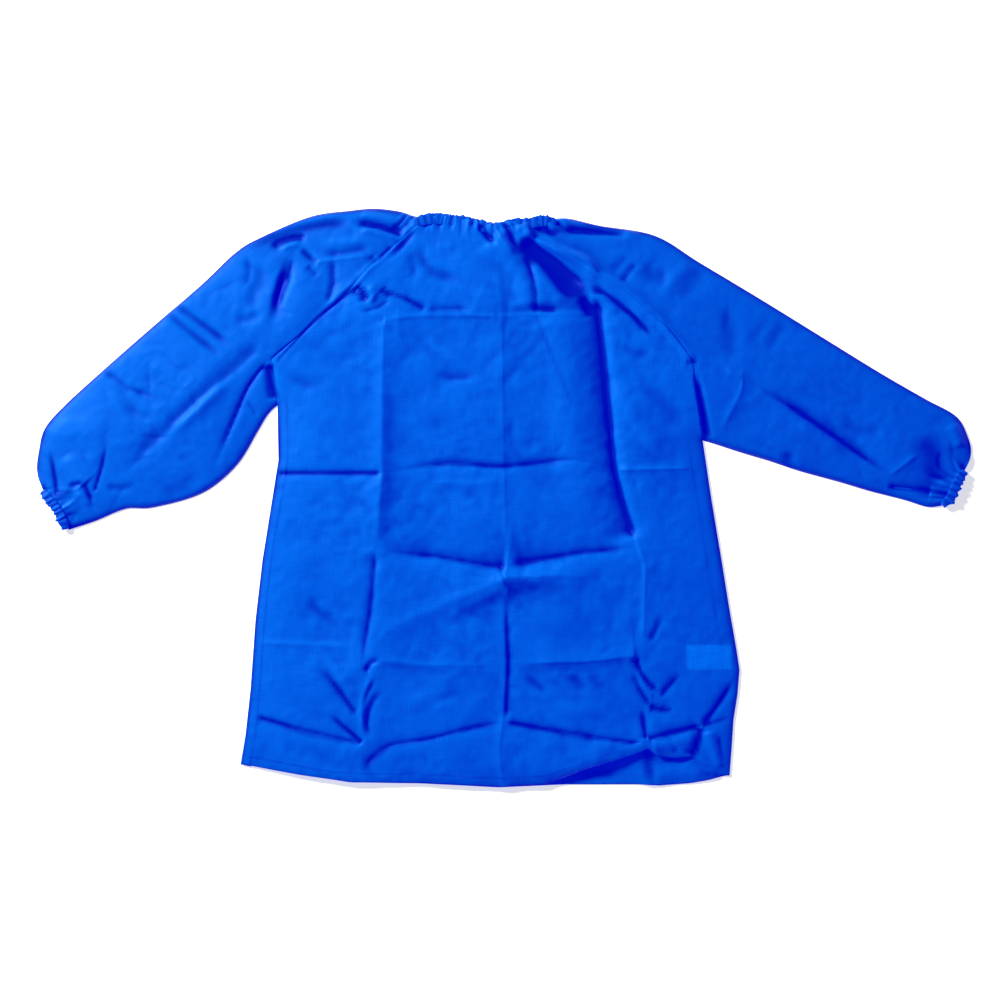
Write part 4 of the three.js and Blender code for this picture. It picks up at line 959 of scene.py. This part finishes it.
def ring_line(edge, low, high, bulge):
    """A flattened ring that follows an edge above and comes back below it: its points, which
    way and how high each lies, and how close each is to the ring's two turns."""
    edge = np.array(edge, float)
    back = edge[::-1]
    line = np.vstack([edge, back])
    z = np.concatenate([np.full(len(edge), high), np.full(len(back), low)])
    way = np.gradient(edge, axis=0)
    out = np.stack([-way[:, 1], way[:, 0]], axis=1)
    out /= np.linalg.norm(out, axis=1)[:, None]
    out = np.vstack([out, out[::-1]])
    share = np.linspace(0, 1, len(edge))
    ends = np.minimum(share, 1 - share) * len(edge)
    round_end = np.exp(-ends / 3)
    round_end = np.concatenate([round_end, round_end[::-1]])
    z = z + (0.5 * (low + high) - z) * round_end * 0.9
    along = np.where(np.concatenate([share, share[::-1]]) < 0.5, -1, 1)
    tangent = way / np.linalg.norm(way, axis=1)[:, None]
    tangent = np.vstack([tangent, tangent[::-1]])
    line = line + tangent * (along * round_end * bulge)[:, None]
    return line, out, z, round_end


def casing_mesh(name, edge, low, high, depth, thickness, pleat, seed, bulge=1.5, ruffle=1.1):
    """A tube round a flattened ring, gathered into pleats if their length isn't 0."""
    line, out, z, ends = ring_line(edge, low, high, bulge)
    count = len(line)
    draw = np.random.default_rng(seed)
    steps = np.linalg.norm(np.diff(line, axis=0, append=line[:1]), axis=1)
    length = np.cumsum(steps)
    phase = np.zeros(count)
    if pleat:
        pleats = max(3, round(length[-1] / pleat))
        uneven_steps = draw.uniform(0.55, 1.45, pleats)
        marks = np.concatenate([[0], np.cumsum(uneven_steps)]) / uneven_steps.sum() * length[-1]
        phase = np.interp(length, marks, np.arange(pleats + 1)) * 2 * math.pi
        strength = np.interp(length, marks, [*draw.uniform(0.45, 1.3, pleats), 0.8])
        lean = np.interp(length, marks, [*draw.uniform(-1.2, 1.2, pleats), 0.0])
    around = 20
    shade = np.zeros((count, around))
    points = []
    for k in range(around):
        turn = 2 * math.pi * k / around
        across_share = math.copysign(abs(math.cos(turn)) ** 0.7, math.cos(turn))
        up_share = math.copysign(abs(math.sin(turn)) ** 0.7, math.sin(turn))
        reach = np.full(count, depth / 2) * (1 - 0.45 * ends)
        lift = np.full(count, thickness / 2) * (1 - 0.3 * ends)
        if pleat:
            wave = np.sin(phase + 1.1 * lean * across_share)
            fine = np.sin(2.3 * phase + 1.7 * lean * (1 + across_share))
            reach = reach + ruffle * strength * (0.6 * wave + 0.35 * fine) * max(0, across_share)
            reach = reach + 0.8 * lean * max(0, across_share)
            reach = np.maximum(reach, 0.41 * depth * (1 - 0.45 * ends))
            lift = np.maximum(lift * (1 + 0.42 * strength * wave + 0.2 * fine), 0.75)
            # Painted shade: the cloth's colour is darkened between the pleats.
            shade[:, k] = np.clip(0.36 - 0.5 * strength * wave - 0.25 * fine, 0, 0.95)
        place = line + out * (across_share * reach)[:, None]
        # The upper half bulges up and the lower half down, so that the two never touch.
        points.append(np.column_stack([place, z + up_share * lift]))
    points = np.array(points).transpose(1, 0, 2)
    points[..., 2] = np.maximum(points[..., 2], 0.15)
    faces = []
    for i in range(count):
        after = (i + 1) % count
        for k in range(around):
            faces.append((i * around + k, after * around + k, after * around + (k + 1) % around,
                          i * around + (k + 1) % around))
    flat = points.reshape(-1, 3)
    mesh = bpy.data.meshes.new(name)
    mesh.from_pydata(on_smock(flat), [], faces)
    mesh.polygons.foreach_set("use_smooth", [True] * len(faces))
    face_outward(mesh)
    u = np.repeat(length * MM, around)
    v = np.tile(np.arange(around) * MM * 1.5, count)
    lay_uv(mesh, u, v)
    mark_cloth(mesh, shade, np.zeros(shade.shape))
    return mesh


casing_taffeta = taffeta("nylon_taffeta_casings", "015083", "01406e")
elastic_rubber = plain_material("knitted_elastic", {"Base Color": linear("e9e8e2"),
                                                    "Roughness": 0.8})

neck_edge = rounded([(-70, 563), (-53, 566), (-35, 565), (-15, 562), (5, 557), (18, 557),
                     (32, 561), (46, 562), (60, 564), (70, 561)], 1.2)
CASINGS = {
    "neck": (neck_edge, 3.6, 6.8, "torso", 11.5, 7.0),
    "left_cuff": (rounded([(479, 313), (474, 305), (470, 297), (466, 288), (459, 280)], 1.0),
                  2.0, 6.4, "left_sleeve", 10.0, 6.0),
    "right_cuff": (rounded([(-420, 257), (-423, 266), (-428, 276), (-435, 285), (-442, 293)], 1.0),
                   2.0, 6.4, "right_sleeve", 10.0, 6.0),
}
for name, (edge, low, high, body, depth, pleat) in CASINGS.items():
    thick = (high - low) * 0.72
    ruffle = 1.1 if name == "neck" else 2.2
    mesh = casing_mesh(f"{name}_casing_cloth", edge, low, high, depth, thick, pleat, len(name),
                       ruffle=ruffle)
    casing = make_object(f"{name}_casing_cloth", mesh, casing_taffeta)
    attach(casing, body)
    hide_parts(f"{name}_casing")
    mesh = casing_mesh(f"{name}_elastic_band", edge, low, high, depth * 0.66, 0.9, 0, 1)
    band = make_object(f"{name}_elastic_band", mesh, elastic_rubber)
    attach(band, body)
    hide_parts(f"{name}_elastic")

# ---------------------------------------------------------------------------------------------
# The seams. Side, raglan and underarm seams are all overlocked: the two edges of cloth lie
# together inside the smock as a flat strip 8 mm wide, bound by loops of polyester thread.
# ---------------------------------------------------------------------------------------------

# The thread glows a faint blue of its own: painted light, as on the taffeta.
thread = plain_material("polyester_thread", {
    "Base Color": linear("0442b8"), "Roughness": 0.6, "Specular Tint": linear("0060ff"),
    "Emission Color": linear("0000ff"), "Emission Strength": 0.25})

# Stitches along a line: one thread bead per stitch, turned by an angle from the line's way.
stitches = bpy.data.node_groups.new("stitches", "GeometryNodeTree")
sockets = {}
for socket_name, kind, value in (("Geometry", "NodeSocketGeometry", None),
                                 ("Pitch", "NodeSocketFloat", 3 * MM),
                                 ("Length", "NodeSocketFloat", 2.4 * MM),
                                 ("Thickness", "NodeSocketFloat", 0.35 * MM),
                                 ("Turn", "NodeSocketFloat", 0.0)):
    socket = stitches.interface.new_socket(socket_name, in_out="INPUT", socket_type=kind)
    if value is not None:
        socket.default_value = value
    sockets[socket_name] = socket.identifier
stitches.interface.new_socket("Geometry", in_out="OUTPUT", socket_type="NodeSocketGeometry")
given = node(stitches, "NodeGroupInput")
line = node(stitches, "GeometryNodeMeshToCurve", links={0: given.outputs["Geometry"]})
steps = node(stitches, "GeometryNodeResampleCurve", {"mode": "LENGTH"},
             links={"Curve": line.outputs[0], "Length": given.outputs["Pitch"]})
way = node(stitches, "GeometryNodeInputTangent")
turned = node(stitches, "ShaderNodeVectorRotate", {"rotation_type": "Z_AXIS"},
              links={"Vector": way.outputs[0], "Angle": given.outputs["Turn"]})
aimed = node(stitches, "FunctionNodeAlignRotationToVector", {"axis": "Z"},
             links={"Vector": turned.outputs[0]})
bead = node(stitches, "GeometryNodeMeshIcoSphere", inputs={"Radius": 0.5, "Subdivisions": 1})
bead_size = node(stitches, "ShaderNodeCombineXYZ",
                 links={0: given.outputs["Thickness"], 1: given.outputs["Thickness"],
                        2: given.outputs["Length"]})
placed = node(stitches, "GeometryNodeInstanceOnPoints",
              links={"Points": steps.outputs[0], "Instance": bead.outputs[0],
                     "Rotation": aimed.outputs[0], "Scale": bead_size.outputs[0]})
real = node(stitches, "GeometryNodeRealizeInstances", links={0: placed.outputs[0]})
coloured = node(stitches, "GeometryNodeSetMaterial", inputs={"Material": thread},
                links={"Geometry": real.outputs[0]})
result = node(stitches, "NodeGroupOutput")
stitches.links.new(coloured.outputs[0], result.inputs[0])


def stitched(name, lines, body, **values):
    """Stitches along lines of points in millimetres, as one plain mesh that rides on a body."""
    points = []
    edges = []
    for line in lines:
        edges += [(len(points) + i, len(points) + i + 1) for i in range(len(line) - 1)]
        points += on_smock(line)
    mesh = bpy.data.meshes.new(name)
    mesh.from_pydata(points, edges, [])
    made = make_object(name, mesh, thread)
    modifier = made.modifiers.new("stitches", "NODES")
    modifier.node_group = stitches
    for socket_name, value in values.items():
        modifier[sockets[socket_name]] = value
    bpy.context.view_layer.update()
    grown = made.evaluated_get(bpy.context.evaluated_depsgraph_get())
    baked = bpy.data.meshes.new_from_object(grown)
    made.modifiers.clear()
    made.data = baked
    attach(made, body)
    return made


def strip_mesh(name, line, width, z, thickness):
    """A flat strip of cloth along a line, width to its left, as a closed mesh."""
    line = np.array(line, float)
    way = np.gradient(line, axis=0)
    left = np.stack([-way[:, 1], way[:, 0]], axis=1)
    left /= np.linalg.norm(left, axis=1)[:, None]
    x = line[:, :1] + left[:, :1] * np.array([[0, width / 2, width]])
    y = line[:, 1:] + left[:, 1:] * np.array([[0, width / 2, width]])
    top = z(x, y)
    rows = []
    for i in range(len(line)):
        upper = [(x[i, k], y[i, k], top[i, k]) for k in (0, 1, 2)]
        lower = [(x[i, k], y[i, k], top[i, k] - thickness) for k in (2, 1, 0)]
        rows.append(upper + lower)
    faces = []
    for i in range(len(rows) - 1):
        for k in range(6):
            faces.append((6 * i + k, 6 * i + (k + 1) % 6, 6 * i + 6 + (k + 1) % 6, 6 * i + 6 + k))
    faces.append(tuple(range(6)))
    last = 6 * (len(rows) - 1)
    faces.append(tuple(last + k for k in range(5, -1, -1)))
    points = np.array([point for row in rows for point in row])
    mesh = bpy.data.meshes.new(name)
    mesh.from_pydata(on_smock(points), [], faces)
    face_outward(mesh)
    lay_uv(mesh, points[:, 0] * MM, points[:, 1] * MM)
    return mesh, x, y, top


def under_front(gap):
    return lambda x, y: np.maximum(front_height(x, y) - gap, 0.9 if gap < 3 else 0.6)


def over_back(gap):
    return lambda x, y: back_height(x, y) + gap


def inset(points, by):
    """The same line moved to its left."""
    line = rounded(points, 5)
    way = np.gradient(line, axis=0)
    left = np.stack([-way[:, 1], way[:, 0]], axis=1)
    return line + by * left / np.linalg.norm(left, axis=1)[:, None]


RIGHT_UNDERARM = [(-274, 303), (-300, 288), (-335, 280), (-360, 279), (-390, 268), (-408, 262)]
LEFT_UNDERARM = [(256, 334), (285, 326), (315, 316), (355, 305), (385, 296), (420, 290), (440, 287)]
SEAM_WIDTH = 8
SEAMS = {
    "left_side_seam": (inset(RIGHT_SIDE[:-2], 3), over_back(0.9), "torso"),
    "right_side_seam": (inset(LEFT_SIDE[:-2][::-1], 3), over_back(0.9), "torso"),
    "left_front_raglan_seam": (inset(RIGHT_RAGLAN[1:-1][::-1], -SEAM_WIDTH), under_front(0.9), "torso"),
    "right_front_raglan_seam": (inset(LEFT_RAGLAN[1:-1], -SEAM_WIDTH), under_front(0.9), "torso"),
    "left_back_raglan_seam": (inset(RIGHT_RAGLAN[1:-1][::-1], -SEAM_WIDTH), over_back(0.9), "torso"),
    "right_back_raglan_seam": (inset(LEFT_RAGLAN[1:-1], -SEAM_WIDTH), over_back(0.9), "torso"),
    "left_underarm_seam": (inset(LEFT_UNDERARM, 2), over_back(0.7), "left_sleeve"),
    "right_underarm_seam": (inset(RIGHT_UNDERARM[::-1], 2), over_back(0.7), "right_sleeve"),
}
for name, (seam_line, z, body) in SEAMS.items():
    mesh, x, y, top = strip_mesh(f"{name}_strip", seam_line, SEAM_WIDTH, z, 0.45)
    strip = make_object(f"{name}_strip", mesh, casing_taffeta)
    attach(strip, body)
    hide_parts(name)
    stitched(f"{name}_overlock", [np.column_stack([x[:, 1], y[:, 1], top[:, 1] + 0.1])], body,
             Pitch=2.5 * MM, Length=7.5 * MM, Thickness=0.35 * MM, Turn=1.35)

# ---------------------------------------------------------------------------------------------
# The hems. Both panels are turned up 9 mm at the bottom and sewn with a straight lockstitch,
# 3 mm to the stitch, in blue polyester thread.
# ---------------------------------------------------------------------------------------------


def hem_line(hem, rise, z, low=-238, high=238):
    x = np.arange(low, high, 2.5)
    y = upward(hem, x) + rise
    return np.column_stack([x, y, z(x, y)])


stitched("front_hem_stitches", [hem_line(FRONT_HEM, HEM_TURN, front_height)], "torso",
         Pitch=3 * MM, Length=2.5 * MM, Thickness=0.4 * MM)
stitched("back_hem_stitches", [hem_line(BACK_HEM, HEM_TURN, back_height)], "torso",
         Pitch=3 * MM, Length=2.5 * MM, Thickness=0.4 * MM)

# ---------------------------------------------------------------------------------------------
# The slit's facings: a narrow strip of the same taffeta sewn inside each edge of the slit.
# ---------------------------------------------------------------------------------------------

slit = np.linspace(np.array(SLIT_TOP, float) + (5.5, -16), np.array(SLIT_FOOT, float) + (-1, 4), 40)
for wearer, side in (("left", 1), ("right", -1)):
    line = slit + (1.5 * side, 0)
    if side < 0:
        line = line[::-1]
    mesh, x, y, top = strip_mesh(f"{wearer}_slit_facing_strip", line, 9, over_back(0.75), 0.3)
    facing = make_object(f"{wearer}_slit_facing_strip", mesh, casing_taffeta)
    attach(facing, "torso")
    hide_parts(f"{wearer}_slit_facing")

# ---------------------------------------------------------------------------------------------
# The closure. A short tab of doubled taffeta crosses the top of the slit, with a patch of woven
# hook tape sewn to it, and a patch of looped tape is sewn to the casing that it closes on.
# ---------------------------------------------------------------------------------------------

hook_tape = new_material("hook_and_loop_tape")
tree = hook_tape.node_tree
spot = node(tree, "ShaderNodeTexCoord")
nap = node(tree, "ShaderNodeTexNoise", inputs={"Scale": 1400.0, "Detail": 2.0},
           links={"Vector": spot.outputs["Object"]})
pile = node(tree, "ShaderNodeBump", inputs={"Strength": 0.8, "Distance": 0.3 * MM},
            links={"Height": nap.outputs[0]})
shader = node(tree, "ShaderNodeBsdfPrincipled",
              inputs={"Base Color": linear("0a3fae"), "Roughness": 0.85, "Sheen Weight": 0.5},
              links={"Normal": pile.outputs[0]})
node(tree, "ShaderNodeOutputMaterial", links={"Surface": shader.outputs[0]})
CLOSURE = {
    "closure_tab": ((-1, 549.5), (26, 561), 0.05, 0.75, casing_taffeta, "taffeta", "neck_closure"),
    "hook_patch": ((3, 550.5), (24, 560), 0.85, 1.5, hook_tape, "hook_and_loop_tape",
                   "neck_closure"),
    "loop_patch": ((3, 550.5), (24, 560), 1.7, 2.4, hook_tape, "hook_and_loop_tape", "torso"),
}
for name, (low, high, under, over, material, slot, body) in CLOSURE.items():
    corner = 1.5
    outline = []
    for cx, cy, first in ((high[0] - corner, high[1] - corner, 0),
                          (low[0] + corner, high[1] - corner, 90),
                          (low[0] + corner, low[1] + corner, 180),
                          (high[0] - corner, low[1] + corner, 270)):
        for step in range(5):
            turn = math.radians(first + step * 22.5)
            outline.append((cx + corner * math.cos(turn), cy + corner * math.sin(turn)))
    count = len(outline)
    points = on_smock([(px, py, z) for z in (under, over) for px, py in outline])
    faces = [tuple(range(count - 1, -1, -1)), tuple(range(count, 2 * count))]
    faces += [(i, (i + 1) % count, count + (i + 1) % count, count + i) for i in range(count)]
    mesh = bpy.data.meshes.new(f"{name}_piece")
    mesh.from_pydata(points, [], faces)
    flat = np.array(points)
    lay_uv(mesh, flat[:, 0], flat[:, 1])
    piece = make_object(f"{name}_piece", mesh, material)
    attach(piece, body)
    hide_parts(name)

# ---------------------------------------------------------------------------------------------
# The care label: a small blank rectangle of white satin ribbon inside the front, caught in the
# side seam. It shows through the cloth as a paler patch.
# ---------------------------------------------------------------------------------------------

ribbon = plain_material("satin_ribbon", {"Base Color": linear("e8eaf0"), "Roughness": 0.4})
SHORT_OF_SEAM = 4
label_x = np.linspace(LABEL_LOW[0], LABEL_HIGH[0] - SHORT_OF_SEAM, 12)
label_line = np.column_stack([label_x, np.full(12, float(LABEL_LOW[1]))])
mesh, x, y, top = strip_mesh("care_label_ribbon", label_line, LABEL_HIGH[1] - LABEL_LOW[1],
                             under_front(1.2), 0.25)
label = make_object("care_label_ribbon", mesh, ribbon)
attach(label, "torso")
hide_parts("care_label")

# ---------------------------------------------------------------------------------------------
# The table, the light and the camera.
# ---------------------------------------------------------------------------------------------

paper = plain_material("white_table", {
    "Base Color": linear("f7f7fb"), "Roughness": 0.9, "Specular IOR Level": 0.1,
    "Emission Color": linear("ffffff"), "Emission Strength": 0.62})
TABLE = 6.0
table_mesh = bpy.data.meshes.new("table")
table_mesh.from_pydata([(-TABLE, -TABLE, 0), (TABLE, -TABLE, 0), (TABLE, TABLE, 0),
                        (-TABLE, TABLE, 0)], [], [(0, 1, 2, 3)])
table = make_object("table", table_mesh, paper)


def area_light(name, place, target, size, power, colour):
    lamp = bpy.data.lights.new(name, "AREA")
    lamp.shape = "DISK"
    lamp.size = size
    lamp.energy = power
    lamp.color = linear(colour)[:3]
    made = bpy.data.objects.new(name, lamp)
    bpy.context.scene.collection.objects.link(made)
    made.location = place
    aim = Vector(target) - Vector(place)
    made.rotation_euler = aim.to_track_quat("-Z", "Y").to_euler()
    return made


area_light("window", (-1.78, 1.36, 1.28), (0.0, 0.0, 0.0), 0.6, 152, "fffdf8")
area_light("fill", (0.8, -0.3, 2.6), (0.0, 0.0, 0.0), 1.6, 2.5, "f4f6ff")
world = bpy.data.worlds.new("studio")
bpy.context.scene.world = world
world.use_nodes = True
world.node_tree.nodes["Background"].inputs["Color"].default_value = linear("f4f5ff")
world.node_tree.nodes["Background"].inputs["Strength"].default_value = 0.07

camera = bpy.data.objects.new("camera", bpy.data.cameras.new("camera"))
bpy.context.scene.collection.objects.link(camera)
camera.location = (MIDDLE + 15 * MM, HEM + 285 * MM, 2.2)
camera.data.lens = 79
camera.data.clip_end = 50
bpy.context.scene.camera = camera
bpy.context.scene.view_settings.view_transform = "Standard"
